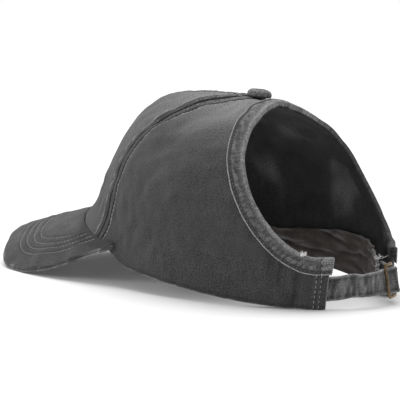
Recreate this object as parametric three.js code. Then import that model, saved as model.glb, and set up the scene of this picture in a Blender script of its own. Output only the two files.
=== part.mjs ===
// Ponytail baseball cap, unworn, resting on the floor on its rear hems and the sides of its peak.
// Millimetres and degrees. +Z is up, the peak points to -Y and the wearer's left is +X.
// The origin is the middle of the bounding box's bottom.
//
// The crown is one dome. A place on it is an angle from the front (0 front, 90 wearer's left,
// 180 back) and a share of the way down from the button (0 button, 1 rim). Every crown piece is a
// patch between lines given that way, with its outer face on the dome and its inner face moved in
// along the dome's normal by the cloth's thickness.

import * as THREE from "three";
import { mergeVertices } from "three/addons/utils/BufferGeometryUtils.js";

// Crown dome
const HALF_WIDTH = 76.3;
const FRONT_LENGTH = 99.0;
const REAR_LENGTH = 98.2;
const CROWN_HEIGHT = 111.6;
const BUTTON_SETBACK = 8.1;
const SIDE_FULLNESS = 1.8;
const SIDE_STEEPNESS = 0.443;
const FRONT_FULLNESS = 0.378;
const FRONT_STEEPNESS = 0.729;
const FRONT_SPREAD = 46;
const FRONT_EDGE = 2.4;
const FRONT_FLARE = 11.7;
const FLARE_HEIGHT = 10;

// Rim: it lies on the floor at the back and climbs towards the front
const RIM_SLOPE = 0.143;
const RIM_LIFT_START = 68.7;
const RIM_LIFT_SPREAD = 18.7;
const RIM_REST_DROP = 1.15;

// Peak
const PEAK_REACH = 153.9;
const PEAK_HALF_WIDTH = 76.3;
const PEAK_ROOT = 37.9;
const PEAK_ROOT_HEIGHT = 37.8;
const PEAK_SLOPE = 0.309;
const PEAK_DROP_AT_SIDE = 36.4;
const PEAK_CORNER_ANGLE = 66.4;
const PEAK_CORNER_SPREAD = 17.2;
const PEAK_SIDE_SQUARENESS = 1.314;
const PEAK_FRONT_SQUARENESS = 0.409;
const PEAK_CORNER_TUCK = 4.2;
const PEAK_TUCK_START = 85;
const PEAK_COVER = 1.4;
const PEAK_EDGE_ROUNDING = 0.5;

// Cloth
const PANEL_THICKNESS = 1.3;
const HEM_THICKNESS = 2.6;
const HEM_FOLD_WIDTH = 8;
const TAPE_THICKNESS = 0.9;
const TAPE_WIDTH = 12;
const SWEATBAND_THICKNESS = 1.2;
const SWEATBAND_LIFT = 0.6;
const SWEATBAND_END_SETBACK = 1.2;
const GAP = 0.3;
const BUTTON_HOLE = 3.4;
const PEAK_THICKNESS = 2 * PEAK_COVER + GAP;

// Rear opening and its binding
const HEM_ANGLE = 150.2;
const HEM_HEIGHT = 28.3;
const OPENING_FRONT_ANGLE = 112.8;
const OPENING_FRONT_SHARE = 0.41;
const OPENING_TOP = 13.2;
const BINDING_WIDTH = 8.5;
const BINDING_INNER_WIDTH = 6;
const BINDING_LEAF = 1.0;
const BINDING_OVERHANG = 1.0;

// Strap, loop and buckle
const STRAP_WIDTH = 13.7;
const STRAP_THICKNESS = 1.5;
const STRAP_BACK_SHARE = 0.962;
const STRAP_TUCK = 11;
const STRAP_HEIGHT_AT_HEM = 11.2;
const STRAP_HEIGHT = 12.8;
const STRAP_LEAN = 12;
const LOOP_THICKNESS = 1.1;
const LOOP_WIDTH = 13;
const BUCKLE_PLACE = 16;
const BUCKLE_WIDTH = 15;
const BUCKLE_HEIGHT = 20;
const BUCKLE_THICKNESS = 1.4;
const BUCKLE_BAR = 1.8;
const BUCKLE_CENTRE_BAR = 1.4;
const BUCKLE_RAIL = 2.4;
const BUCKLE_CORNER = 2.2;
const BUCKLE_BEVEL = 0.3;

// Button
const BUTTON_RADIUS = 7.2;
const BUTTON_DOME_HEIGHT = 5.6;
const BUTTON_LIFT = 0.3;
const BUTTON_TILT = 5;
const BUTTON_UNDERSIDE = 0.5;
const SHANK_RADIUS = 1.6;
const RIVET_RADIUS = 4.2;
const RIVET_THICKNESS = 1.0;
const RIVET_DEPTH = 3.2;

// The seam between a front and a side panel: share of the way down, angle from the front
const SEAM_LINE = [
  { down: 0.0, angle: 44.6 },
  { down: 0.1, angle: 45.9 },
  { down: 0.3, angle: 48.7 },
  { down: 0.5, angle: 51.5 },
  { down: 0.7, angle: 54.1 },
  { down: 0.8, angle: 55.0 },
  { down: 0.9, angle: 55.6 },
  { down: 1.0, angle: 55.8 },
];

// The opening's edge from its foremost point down to the hem's top corner:
// share of the way back to the hem, share of the way down to the hem's top
const OPENING_LOWER = [
  { back: 0.0, down: 0.0 },
  { back: 0.018, down: 0.18 },
  { back: 0.063, down: 0.338 },
  { back: 0.128, down: 0.481 },
  { back: 0.211, down: 0.61 },
  { back: 0.307, down: 0.726 },
  { back: 0.417, down: 0.827 },
  { back: 0.535, down: 0.909 },
  { back: 0.666, down: 0.968 },
  { back: 0.809, down: 0.999 },
  { back: 1.0, down: 1.0 },
];

// The same edge from its foremost point up to the back centre:
// share of the way back to the centre, share of the way up to the opening's top
const OPENING_UPPER = [
  { back: 0.012, up: 0.255 },
  { back: 0.065, up: 0.529 },
  { back: 0.217, up: 0.794 },
  { back: 0.494, up: 0.924 },
  { back: 1.0, up: 1.0 },
];

// Soft folds, dents and the fuller right front, each a ridge (height above 0) or a valley between
// two places on the crown: angle and share down at both ends, then half width and height
const FOLDS = [
  { from: [-36, 0.58], to: [-18, 0.32], half: 17, height: 2.0 },
  { from: [0, 0.66], to: [0, 0.22], half: 6, height: -1.2 },
  { from: [0, 0], to: [0, 0], half: 12, height: -1.6 },
  { from: [85, 0.05], to: [95, 0.06], half: 7, height: 1.1 },
  { from: [-85, 0.05], to: [-95, 0.06], half: 7, height: 1.1 },
  { from: [-75, 0.42], to: [-62, 0.75], half: 12, height: -1.2 },
  { from: [88, 0.24], to: [70, 0.34], half: 7, height: -1.1 },
  { from: [104, 0.3], to: [84, 0.42], half: 8, height: 0.8 },
  { from: [132, 0.88], to: [133, 0.99], half: 4.5, height: 0.9 },
  { from: [137.5, 0.89], to: [138, 0.99], half: 4, height: -0.9 },
  { from: [-150, 0.8], to: [-150, 1.0], half: 22, height: -2.4 },
  { from: [-146, 0.78], to: [-122, 0.6], half: 14, height: -2.2 },
  { from: [-100, 0.8], to: [-112, 0.6], half: 9, height: -1.2 },
  { from: [24, 0.95], to: [30, 0.8], half: 6, height: 0.7 },
  { from: [-28, 0.95], to: [-24, 0.8], half: 6, height: 0.6 },
];

// How far the sweatband's top stands above the rim: angle either side of the front, height
const SWEATBAND_HEIGHTS = [
  { angle: 0, height: 20 },
  { angle: 60, height: 18 },
  { angle: 78, height: 15.5 },
  { angle: 90, height: 20 },
  { angle: 102, height: 25 },
  { angle: 118, height: 27 },
  { angle: 132, height: 25 },
  { angle: 150, height: 23 },
];

// The strap's way through the buckle: place along the strap from the back centre, as a distance
// from the buckle's middle in buckle widths, and how far out its middle plane stands
const STRAP_WEAVE = [
  { along: -1.0, out: 0.0 },
  { along: -0.6, out: -0.1 },
  { along: -0.38, out: 0.0 },
  { along: -0.24, out: 1.0 },
  { along: -0.12, out: 3.0 },
  { along: -0.03, out: 4.6 },
  { along: 0.06, out: 5.0 },
  { along: 0.135, out: 4.2 },
  { along: 0.17, out: 2.8 },
  { along: 0.18, out: 1.2 },
  { along: 0.2, out: -0.3 },
  { along: 0.28, out: -1.35 },
  { along: 0.4, out: -1.6 },
  { along: 0.7, out: -2.1 },
  { along: 1.2, out: -3.2 },
];

// The buckle loop's way: from inside the right hem, out over the far bar, round it and back
const LOOP_WAY = [
  { along: 1.9, out: -1.6 },
  { along: 1.4, out: -1.6 },
  { along: 0.95, out: -0.4 },
  { along: 0.68, out: 1.8 },
  { along: 0.52, out: 3.1 },
  { along: 0.42, out: 3.5 },
  { along: 0.325, out: 3.0 },
  { along: 0.295, out: 1.8 },
  { along: 0.33, out: 0.55 },
  { along: 0.44, out: 0.12 },
  { along: 0.6, out: 0.12 },
];

const UP = new THREE.Vector3(0, 0, 1);
const DEGREES = Math.PI / 180;
const MERIDIAN_STEPS = 160;
const MERIDIAN_TOP_POWER = 2.8;
const MERIDIAN_RIM_POWER = 2.2;
const PROBE = 0.004;
const FOLD_SCALE = 150;

const clamp = THREE.MathUtils.clamp;
const mix = THREE.MathUtils.lerp;
const smooth = THREE.MathUtils.smoothstep;

// Height of the peak's upper face over a place on the floor plan, never under its resting height.
function peakTop(x, y) {
  const side = x / PEAK_HALF_WIDTH;
  const height = PEAK_ROOT_HEIGHT + PEAK_SLOPE * (y + FRONT_LENGTH) - PEAK_DROP_AT_SIDE * side * side;
  return Math.max(height, PEAK_THICKNESS);
}

// How much of the crown's foot belongs to the peak at an angle: 1 over the peak, 0 behind it.
function overPeak(angle) {
  const half = PEAK_CORNER_SPREAD / 2;
  return 1 - smooth(Math.abs(angle), PEAK_CORNER_ANGLE - half, PEAK_CORNER_ANGLE + half);
}

// The crown's foot: the rim behind the peak, and the ditch along the peak's upper face in front.
function footPoint(angle) {
  const turn = angle * DEGREES;
  const length = Math.cos(turn) > 0 ? FRONT_LENGTH : REAR_LENGTH;
  const x = HALF_WIDTH * Math.sin(turn);
  const y = -length * Math.cos(turn);
  const climb = RIM_SLOPE * RIM_LIFT_SPREAD * Math.log1p(Math.exp((RIM_LIFT_START - y) / RIM_LIFT_SPREAD));
  const rim = Math.max(climb - RIM_REST_DROP, 0);
  return new THREE.Vector3(x, y, mix(rim, peakTop(x, y), overPeak(angle)));
}

// How much of the front's fuller profile an angle has: half of it at FRONT_SPREAD, none at the side.
function frontShare(angle) {
  const turn = Math.min(Math.abs(angle), 90) * DEGREES;
  return 1 / (1 + Math.pow(Math.tan(turn) / Math.tan(FRONT_SPREAD * DEGREES), FRONT_EDGE));
}

// A place on the bare dome at an angle and a turn from 0 at the foot to 90 degrees at the button.
function domePoint(angle, turn) {
  const foot = footPoint(angle);
  const ahead = Math.max(Math.cos(angle * DEGREES), 0);
  const front = frontShare(angle);
  const fullness = mix(SIDE_FULLNESS, FRONT_FULLNESS, front);
  const steepness = mix(SIDE_STEEPNESS, FRONT_STEEPNESS, front);
  const reach = Math.pow(Math.max(Math.cos(turn), 0), fullness);
  const lift = Math.pow(Math.max(Math.sin(turn), 0), steepness);
  const rise = (CROWN_HEIGHT - foot.z) * lift;
  const flare = (FRONT_FLARE / FRONT_LENGTH) * ahead * (Math.exp(-rise / FLARE_HEIGHT) - 1);
  const wide = reach * (1 + flare);
  return new THREE.Vector3(foot.x * wide, foot.y * wide + BUTTON_SETBACK * lift, foot.z + rise);
}

// Turns and their shares of the way down, measured along the dome at one angle.
const meridians = new Map();
function meridian(angle) {
  const key = angle.toFixed(4);
  if (meridians.has(key)) return meridians.get(key);
  const turns = [];
  const walked = [0];
  let last = null;
  for (let i = 0; i <= MERIDIAN_STEPS; i++) {
    const part = i / MERIDIAN_STEPS;
    const low = Math.pow(part, MERIDIAN_RIM_POWER);
    const turn = ((low / (low + Math.pow(1 - part, MERIDIAN_TOP_POWER))) * Math.PI) / 2;
    const point = domePoint(angle, turn);
    if (last) walked.push(walked[i - 1] + point.distanceTo(last));
    turns.push(turn);
    last = point;
  }
  const made = { turns, walked, length: walked[MERIDIAN_STEPS] };
  meridians.set(key, made);
  return made;
}

function turnAt(angle, down) {
  const { turns, walked, length } = meridian(angle);
  const wanted = (1 - down) * length;
  let low = 0;
  let high = MERIDIAN_STEPS;
  while (high - low > 1) {
    const middle = (low + high) >> 1;
    if (walked[middle] <= wanted) low = middle;
    else high = middle;
  }
  return mix(turns[low], turns[high], clamp((wanted - walked[low]) / (walked[high] - walked[low]), 0, 1));
}

// A place below the foot hangs straight down, so that edges can be probed and the wall can stand
// beside the peak's thickness.
function bareCrown(angle, down) {
  const point = domePoint(angle, turnAt(angle, Math.min(down, 1)));
  if (down > 1) point.z -= (down - 1) * meridian(angle).length;
  return point;
}

function normalOf(surface, angle, down) {
  const spread = PROBE / (DEGREES * Math.max(down, PROBE));
  const across = surface(angle + spread, down).sub(surface(angle - spread, down));
  const along = surface(angle, down + PROBE).sub(surface(angle, Math.max(down - PROBE, 0)));
  return along.cross(across).normalize();
}

// The crown laid flat: the button in the middle, the front towards +Y.
function flat(angle, down) {
  return new THREE.Vector2(down * Math.sin(angle * DEGREES), down * Math.cos(angle * DEGREES));
}

function foldHeight(angle, down) {
  const here = flat(angle, down);
  let height = 0;
  for (const fold of FOLDS) {
    const from = flat(...fold.from);
    const line = flat(...fold.to).sub(from);
    const along = clamp(here.clone().sub(from).dot(line) / Math.max(line.lengthSq(), PROBE * PROBE), 0, 1);
    const distance = (FOLD_SCALE * here.distanceTo(from.addScaledVector(line, along))) / fold.half;
    height += fold.height * Math.exp(-distance * distance);
  }
  return height;
}

function crown(angle, down) {
  const point = bareCrown(angle, down);
  return point.addScaledVector(normalOf(bareCrown, angle, down), foldHeight(angle, down));
}

// A place at a depth inside the crown's outer face.
function inCrown(angle, down, depth) {
  return crown(angle, down).addScaledVector(normalOf(crown, angle, down), -depth);
}

function downAt(angle, heightAboveFoot) {
  return 1 - heightAboveFoot / meridian(angle).length;
}

// The lowest share of the wall: the foot, or the underside of the peak in front.
function wallFoot(angle) {
  return downAt(angle, -PEAK_THICKNESS * overPeak(angle));
}

function tableAt(table, key, value, at) {
  const next = table.findIndex((row) => row[key] >= at);
  if (next < 0) return table[table.length - 1][value];
  if (next === 0) return table[0][value];
  const [a, b] = [table[next - 1], table[next]];
  return mix(a[value], b[value], (at - a[key]) / (b[key] - a[key]));
}

// A closed body from points and triangles, turned so that its faces point out.
function body(points, triangles) {
  let volume = 0;
  for (const [a, b, c] of triangles) {
    volume += points[a].dot(points[b].clone().cross(points[c]));
  }
  const turned = volume < 0 ? triangles.map(([a, b, c]) => [a, c, b]) : triangles;
  const geometry = new THREE.BufferGeometry().setFromPoints(points);
  geometry.setIndex(turned.flat());
  geometry.computeVertexNormals();
  return geometry;
}

// A sheet between two grids of points with the same rows and columns, closed round its edges.
function sheet(outer, inner) {
  const rows = outer.length;
  const columns = outer[0].length;
  const points = [...outer.flat(), ...inner.flat()];
  const under = rows * columns;
  const at = (row, column) => row * columns + column;
  const triangles = [];
  for (let r = 0; r + 1 < rows; r++) {
    for (let c = 0; c + 1 < columns; c++) {
      const [a, b, d, e] = [at(r, c), at(r, c + 1), at(r + 1, c + 1), at(r + 1, c)];
      triangles.push([a, b, d], [a, d, e]);
      triangles.push([under + a, under + d, under + b], [under + a, under + e, under + d]);
    }
  }
  const edge = [];
  for (let c = 0; c + 1 < columns; c++) edge.push(at(0, c));
  for (let r = 0; r + 1 < rows; r++) edge.push(at(r, columns - 1));
  for (let c = columns - 1; c > 0; c--) edge.push(at(rows - 1, c));
  for (let r = rows - 1; r > 0; r--) edge.push(at(r, 0));
  edge.forEach((a, i) => {
    const b = edge[(i + 1) % edge.length];
    triangles.push([a, under + a, b], [b, under + a, under + b]);
  });
  return body(points, triangles);
}

// A body swept through rings of points that all follow one flat outline.
function sweep(rings, outline) {
  const size = outline.length;
  const points = rings.flat();
  const triangles = [];
  for (let r = 0; r + 1 < rings.length; r++) {
    for (let i = 0; i < size; i++) {
      const [a, b] = [r * size + i, r * size + ((i + 1) % size)];
      triangles.push([a, b, a + size], [b, b + size, a + size]);
    }
  }
  const last = (rings.length - 1) * size;
  for (const [a, b, c] of THREE.ShapeUtils.triangulateShape(outline, [])) {
    triangles.push([a, c, b], [last + a, last + b, last + c]);
  }
  return body(points, triangles);
}

const cap = new THREE.Group();
cap.name = "ponytail_baseball_cap";

function add(name, geometry, look) {
  const mesh = new THREE.Mesh(geometry, new THREE.MeshStandardMaterial(look));
  mesh.name = name;
  cap.add(mesh);
}

const TWILL = { color: 0x4b4c50, roughness: 0.95, metalness: 0 };
const TAPE = { color: 0x2f2f33, roughness: 0.95, metalness: 0 };
const BAND = { color: 0x6b6058, roughness: 0.95, metalness: 0 };
const BRASS = { color: 0x8a6c42, roughness: 0.45, metalness: 1 };

// Lines on the crown laid flat. Side is 1 for the wearer's left and -1 for the right.
function curveThrough(places) {
  return new THREE.CatmullRomCurve3(places.map((p) => new THREE.Vector3(p.x, p.y, 0)));
}

function seamPlace(side, down) {
  return flat(side * tableAt(SEAM_LINE, "down", "angle", Math.min(down, 1)), down);
}

const HEM_SHARE = downAt(HEM_ANGLE, HEM_HEIGHT);
const TOP_SHARE = OPENING_TOP / meridian(180).length;

function openingPlaces(side) {
  const lower = OPENING_LOWER.map(({ back, down }) =>
    flat(
      side * mix(OPENING_FRONT_ANGLE, HEM_ANGLE, back),
      mix(OPENING_FRONT_SHARE, HEM_SHARE, down),
    ),
  ).reverse();
  const upper = OPENING_UPPER.map(({ back, up }) =>
    flat(side * mix(OPENING_FRONT_ANGLE, 180, back), mix(OPENING_FRONT_SHARE, TOP_SHARE, up)),
  );
  return [...lower, ...upper];
}

// One line round the opening from the left hem over the top to the right hem, and the place a
// share of the way up either side of it.
const OPENING_LINE = curveThrough([...openingPlaces(1), ...openingPlaces(-1).reverse().slice(1)]);
const openingPart = (side, share) => (side > 0 ? share / 2 : 1 - share / 2);

function placeOf(point) {
  return { angle: Math.atan2(point.x, point.y) / DEGREES, down: Math.hypot(point.x, point.y) };
}

// A crown panel between the places its rows start and end at. Its lowest row is the wall's foot,
// cut level across the cloth so that it lies flat on the floor.
function panel(rows, startOf, endOf, columns, thickness) {
  const outer = [];
  const inner = [];
  rows.forEach((row, r) => {
    const start = startOf(row);
    const end = endOf(row);
    outer.push([]);
    inner.push([]);
    for (const column of columns) {
      const angle = mix(start.angle, end.angle, column);
      const down = r === 0 ? wallFoot(angle) : mix(start.down, end.down, column);
      const [face, back] = [crown(angle, down), inCrown(angle, down, thickness(row, column))];
      if (r === 0) face.z = back.z = bareCrown(angle, down).z;
      outer[r].push(face);
      inner[r].push(back);
    }
  });
  return sheet(outer, inner);
}

function evenly(count) {
  return Array.from({ length: count + 1 }, (_, i) => i / count);
}

const FRONT_ROWS = [
  0, 0.025, 0.05, 0.08, 0.12, 0.17, 0.23, 0.3, 0.37, 0.44, 0.51, 0.58, 0.66, 0.74, 0.82, 0.91, 1,
];
const FRONT_COLUMNS = 9;
const SEAM_SHIFT = (0.7 * GAP) / HALF_WIDTH;
const HOLE_SHARE = BUTTON_HOLE / meridian(0).length;

function shifted(point, x) {
  return placeOf(new THREE.Vector2(point.x + x, point.y));
}

for (const [side, name] of [[1, "left"], [-1, "right"]]) {
  const downOf = (row) => mix(1, HOLE_SHARE, row);
  const centre = (row) => shifted(flat(0, downOf(row)), side * SEAM_SHIFT);
  const seam = (row) => shifted(seamPlace(side, downOf(row)), -side * SEAM_SHIFT);
  const geometry = panel(FRONT_ROWS, centre, seam, evenly(FRONT_COLUMNS), () => PANEL_THICKNESS);
  add("front_panel_" + name, geometry, TWILL);
}

// Side panels: rows climb the hem's end first and then follow the opening's edge.
const HEM_ROWS = [0, 0.25, 0.5];
const OPENING_ROWS = 22;
const SIDE_COLUMNS = [0, 0.06, 0.11, 0.17, 0.25, 0.34, 0.44, 0.55, 0.66, 0.77, 0.87, 1];
const OPENING_LENGTH_SHARE = 0.845;
const HEM_END = 1 - OPENING_LENGTH_SHARE;
const HEM_STEP_CLEARANCE = 10 * GAP;
const HEM_THICK_TOP = HEM_END * (1 - (BINDING_INNER_WIDTH + HEM_STEP_CLEARANCE) / HEM_HEIGHT);
const STEP = 0.005;
const SIDE_START = SEAM_LINE[SEAM_LINE.length - 1].angle;
const SIDE_RADIUS = Math.hypot(HALF_WIDTH, REAR_LENGTH) / Math.SQRT2;
const HEM_FOLD_SHARE = 1 - HEM_FOLD_WIDTH / (SIDE_RADIUS * (HEM_ANGLE - SIDE_START) * DEGREES);

const sideRows = [
  ...HEM_ROWS.map((row) => row * HEM_END),
  HEM_THICK_TOP,
  HEM_THICK_TOP + STEP,
  ...evenly(OPENING_ROWS).map((row) => mix(HEM_END, 1, row)),
];
const sideColumns = [...SIDE_COLUMNS.slice(0, -1), HEM_FOLD_SHARE - STEP, HEM_FOLD_SHARE, 1];

function hemThickness(row, column) {
  return row <= HEM_THICK_TOP && column >= HEM_FOLD_SHARE ? HEM_THICKNESS : PANEL_THICKNESS;
}

for (const [side, name] of [[1, "left"], [-1, "right"]]) {
  const seam = (row) => shifted(seamPlace(side, mix(1, HOLE_SHARE, row)), side * SEAM_SHIFT);
  const edge = (row) => {
    if (row <= HEM_END) return { angle: side * HEM_ANGLE, down: mix(1, HEM_SHARE, row / HEM_END) };
    const point = OPENING_LINE.getPointAt(openingPart(side, (row - HEM_END) / (1 - HEM_END)));
    point.x = side * Math.max(side * point.x, SEAM_SHIFT);
    return placeOf(point);
  };
  add("side_panel_" + name, panel(sideRows, seam, edge, sideColumns, hemThickness), TWILL);
}

// The step on the flat crown that moves one millimetre along the cloth, square to a line.
function stepAcross(point, tangent) {
  const at = (x, y) => {
    const place = placeOf({ x: point.x + x, y: point.y + y });
    return crown(place.angle, place.down);
  };
  const xWay = at(PROBE, 0).sub(at(-PROBE, 0)).divideScalar(2 * PROBE);
  const yWay = at(0, PROBE).sub(at(0, -PROBE)).divideScalar(2 * PROBE);
  const place = placeOf(point);
  const normal = normalOf(crown, place.angle, place.down);
  const forward = xWay.clone().multiplyScalar(tangent.x).addScaledVector(yWay, tangent.y);
  const wanted = normal.cross(forward).normalize();
  const [a, b, c] = [xWay.dot(xWay), xWay.dot(yWay), yWay.dot(yWay)];
  const [d, e] = [wanted.dot(xWay), wanted.dot(yWay)];
  const size = a * c - b * b;
  return new THREE.Vector2((d * c - e * b) / size, (e * a - d * b) / size);
}

// Rings of a strip along a line on the crown: its outline holds distances across and depths.
function strip(points, tangents, outlineAt) {
  return points.map((point, i) => {
    const step = stepAcross(point, tangents[i]);
    return outlineAt(i).map(([across, depth]) => {
      const place = placeOf({ x: point.x + step.x * across, y: point.y + step.y * across });
      return inCrown(place.angle, place.down, depth);
    });
  });
}

// Opening binding: folded over the panels' edge, from the left hem over the top to the right hem
const BINDING_STATIONS = 38;
const SLOT = 2.3 * GAP;
const BINDING_STAND_OFF = 1.5 * GAP;
const BINDING_ROUND = 0.7;
const BINDING_NARROW = 0.62;
const BINDING_NARROW_SPREAD = 0.14;
const bindingOutline = [
  [BINDING_WIDTH, -BINDING_STAND_OFF],
  [-GAP, -BINDING_STAND_OFF],
  [-GAP, PANEL_THICKNESS + SLOT],
  [BINDING_INNER_WIDTH, PANEL_THICKNESS + SLOT],
  [BINDING_INNER_WIDTH, PANEL_THICKNESS + SLOT + BINDING_LEAF],
  [-GAP, PANEL_THICKNESS + SLOT + BINDING_LEAF],
  [-GAP - BINDING_LEAF, PANEL_THICKNESS],
  [-GAP - BINDING_LEAF, 0],
  [-GAP, -BINDING_STAND_OFF - BINDING_LEAF],
  [BINDING_WIDTH - BINDING_ROUND, -BINDING_STAND_OFF - BINDING_LEAF],
  [BINDING_WIDTH, -BINDING_STAND_OFF - BINDING_LEAF * BINDING_ROUND],
];

const bindingLine = evenly(2 * BINDING_STATIONS).map((part) => ({
  point: OPENING_LINE.getPointAt(part),
  tangent: OPENING_LINE.getTangentAt(part),
}));
const overhang = BINDING_OVERHANG / (REAR_LENGTH * Math.sqrt(HEM_SHARE));
const [first, last] = [bindingLine[0], bindingLine[bindingLine.length - 1]];
const before = first.point.clone().addScaledVector(first.tangent, -overhang);
const after = last.point.clone().addScaledVector(last.tangent, overhang);
bindingLine.unshift({ point: before, tangent: first.tangent });
bindingLine.push({ point: after, tangent: last.tangent });
const outline2d = (pairs) => pairs.map(([x, y]) => new THREE.Vector2(x, y));
const bindingRings = strip(
  bindingLine.map((station) => station.point),
  bindingLine.map((station) => station.tangent),
  (i) => {
    const toTop = Math.abs((2 * i) / (bindingLine.length - 1) - 1);
    const width = mix(BINDING_NARROW, 1, smooth(toTop, 0, BINDING_NARROW_SPREAD));
    return bindingOutline.map(([across, depth]) => [across > 0 ? across * width : across, depth]);
  },
);
add("opening_binding", sweep(bindingRings, outline2d(bindingOutline)), TWILL);

// Seam tapes inside, from under the sweatband's top edge up towards the button
const TAPE_ROWS = 14;
const TAPE_CLEARANCE = 2.5 * GAP;
const TAPE_UNDER_BAND = 6;
const CENTRE_TAPE_TOP = 7;
const SIDE_TAPE_TOP = 19;

function bandHeight(angle) {
  return tableAt(SWEATBAND_HEIGHTS, "angle", "height", Math.abs(angle));
}

function seamTape(lineAt, topDistance) {
  const start = placeOf(lineAt(1));
  const low = downAt(start.angle, bandHeight(start.angle) - TAPE_UNDER_BAND);
  const high = topDistance / meridian(start.angle).length;
  const rows = evenly(TAPE_ROWS).map((row) => mix(low, high, row));
  const points = rows.map(lineAt);
  const tangents = rows.map((down) => lineAt(down - PROBE).sub(lineAt(down + PROBE)));
  const across = [-TAPE_WIDTH / 2, 0, TAPE_WIDTH / 2];
  const face = (depth) => strip(points, tangents, () => across.map((x) => [x, depth]));
  const depth = PANEL_THICKNESS + TAPE_CLEARANCE;
  return sheet(face(depth), face(depth + TAPE_THICKNESS));
}
add("seam_tape_centre", seamTape((down) => flat(0, down), CENTRE_TAPE_TOP), TAPE);
add("seam_tape_left", seamTape((down) => seamPlace(1, down), SIDE_TAPE_TOP), TAPE);
add("seam_tape_right", seamTape((down) => seamPlace(-1, down), SIDE_TAPE_TOP), TAPE);

// Peak: two covers between the crown's foot and the peak's edge
const PEAK_COLUMNS = 28;
const PEAK_ROOT_GAP = 1.5 * GAP;
const PEAK_ROWS = [0, 0.2, 0.4, 0.6, 0.78, 0.92, 1];

function outwardAt(angle) {
  const turn = angle * DEGREES;
  const length = Math.cos(turn) > 0 ? FRONT_LENGTH : REAR_LENGTH;
  return new THREE.Vector3(Math.sin(turn) / HALF_WIDTH, -Math.cos(turn) / length, 0).normalize();
}

function peakEdge(share) {
  const turn = (share * Math.PI) / 2;
  const side = Math.sign(share);
  const wide = PEAK_HALF_WIDTH * Math.pow(Math.abs(Math.sin(turn)), PEAK_SIDE_SQUARENESS);
  const far = (PEAK_REACH - PEAK_ROOT) * Math.pow(Math.max(Math.cos(turn), 0), PEAK_FRONT_SQUARENESS);
  const y = -PEAK_ROOT - far;
  return new THREE.Vector3(side * (wide - PEAK_CORNER_TUCK * smooth(y, -PEAK_TUCK_START, -PEAK_ROOT)), y, 0);
}

const peakPlan = PEAK_ROWS.map((row) =>
  evenly(PEAK_COLUMNS).map((column) => {
    const share = Math.sin((column - 0.5) * Math.PI);
    const angle = share * PEAK_CORNER_ANGLE;
    const root = footPoint(angle).addScaledVector(outwardAt(angle), PEAK_ROOT_GAP);
    return root.lerp(peakEdge(share), row);
  }),
);

function peakFace(below, edgeDrop) {
  return peakPlan.map((line, r) =>
    line.map(({ x, y }) => {
      const drop = r === peakPlan.length - 1 ? edgeDrop : 0;
      return new THREE.Vector3(x, y, peakTop(x, y) - below - drop);
    }),
  );
}
add("peak_upper", sheet(peakFace(0, PEAK_EDGE_ROUNDING), peakFace(PEAK_COVER, 0)), TWILL);
add("peak_lower", sheet(peakFace(PEAK_COVER + GAP, 0), peakFace(PEAK_THICKNESS, 0)), TWILL);

// Strap, loop and buckle lie on one arc across the back. A place there is a distance along from
// the back centre (towards the wearer's right), a distance out of the arc and a height.
const hemFoot = footPoint(HEM_ANGLE).setZ(0);
const strapDepthAtHem = HEM_THICKNESS + 2 * GAP + STRAP_THICKNESS / 2;
const strapEnd = hemFoot.addScaledVector(outwardAt(HEM_ANGLE), -strapDepthAtHem);
const strapBack = STRAP_BACK_SHARE * REAR_LENGTH;
const strapSag = strapBack - strapEnd.y;
const arcRadius = (strapEnd.x * strapEnd.x + strapSag * strapSag) / (2 * strapSag);
const arcCentre = strapBack - arcRadius;
const strapHalf = arcRadius * Math.asin(strapEnd.x / arcRadius);

function leanAt(along) {
  const start = BUCKLE_PLACE - BUCKLE_WIDTH;
  const end = BUCKLE_PLACE + BUCKLE_WIDTH;
  const into = smooth(along, start, start + BUCKLE_WIDTH / 2);
  return STRAP_LEAN * DEGREES * into * (1 - smooth(along, end - BUCKLE_WIDTH / 2, end + BUCKLE_WIDTH / 3));
}

function strapPlace(along, out, height) {
  const turn = along / arcRadius;
  const outward = new THREE.Vector3(-Math.sin(turn), Math.cos(turn), 0);
  const lean = leanAt(along);
  const middle = mix(STRAP_HEIGHT_AT_HEM, STRAP_HEIGHT, smooth(along, -strapHalf, -strapHalf / 2));
  return new THREE.Vector3(0, arcCentre, middle)
    .addScaledVector(outward, arcRadius + out * Math.cos(lean) - height * Math.sin(lean))
    .addScaledVector(UP, height * Math.cos(lean) + out * Math.sin(lean));
}

// A band that follows a line of places along and out.
function band(places, thickness, width, steps) {
  const curve = curveThrough(places.map(({ along, out }) => ({ x: along, y: out })));
  const corners = [[-1, -1], [1, -1], [1, 1], [-1, 1]];
  const rings = evenly((places.length - 1) * steps).map((part) => {
    const point = curve.getPoint(part);
    const way = curve.getTangent(part);
    return corners.map(([face, edge]) => {
      const shift = (face * thickness) / 2;
      return strapPlace(point.x - way.y * shift, point.y + way.x * shift, (edge * width) / 2);
    });
  });
  return sweep(rings, outline2d(corners));
}

const fromBuckle = ({ along, out }) => ({ along: BUCKLE_PLACE + along * BUCKLE_WIDTH, out });
const strapWeave = STRAP_WEAVE.map(fromBuckle);
const PLAIN_PLACES = 8;
const strapStart = -strapHalf - STRAP_TUCK;
const strapFinish = strapHalf + STRAP_TUCK;
const plainEnd = strapWeave[0].along;
const plainPart = evenly(PLAIN_PLACES)
  .slice(0, -1)
  .map((part) => ({ along: mix(strapStart, plainEnd, part), out: strapWeave[0].out }));
const farOut = strapWeave[strapWeave.length - 1].out;
const farStart = strapWeave[strapWeave.length - 1].along;
const farPart = evenly(3)
  .slice(1)
  .map((part) => ({ along: mix(farStart, strapFinish, part), out: farOut }));
const strapLine = [...plainPart, ...strapWeave, ...farPart];
add("strap", band(strapLine, STRAP_THICKNESS, STRAP_WIDTH, 2), TWILL);
const loopLine = LOOP_WAY.map(fromBuckle);
loopLine.unshift({ along: strapFinish, out: loopLine[0].out });
add("buckle_loop", band(loopLine, LOOP_THICKNESS, LOOP_WIDTH, 2), TWILL);

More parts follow.
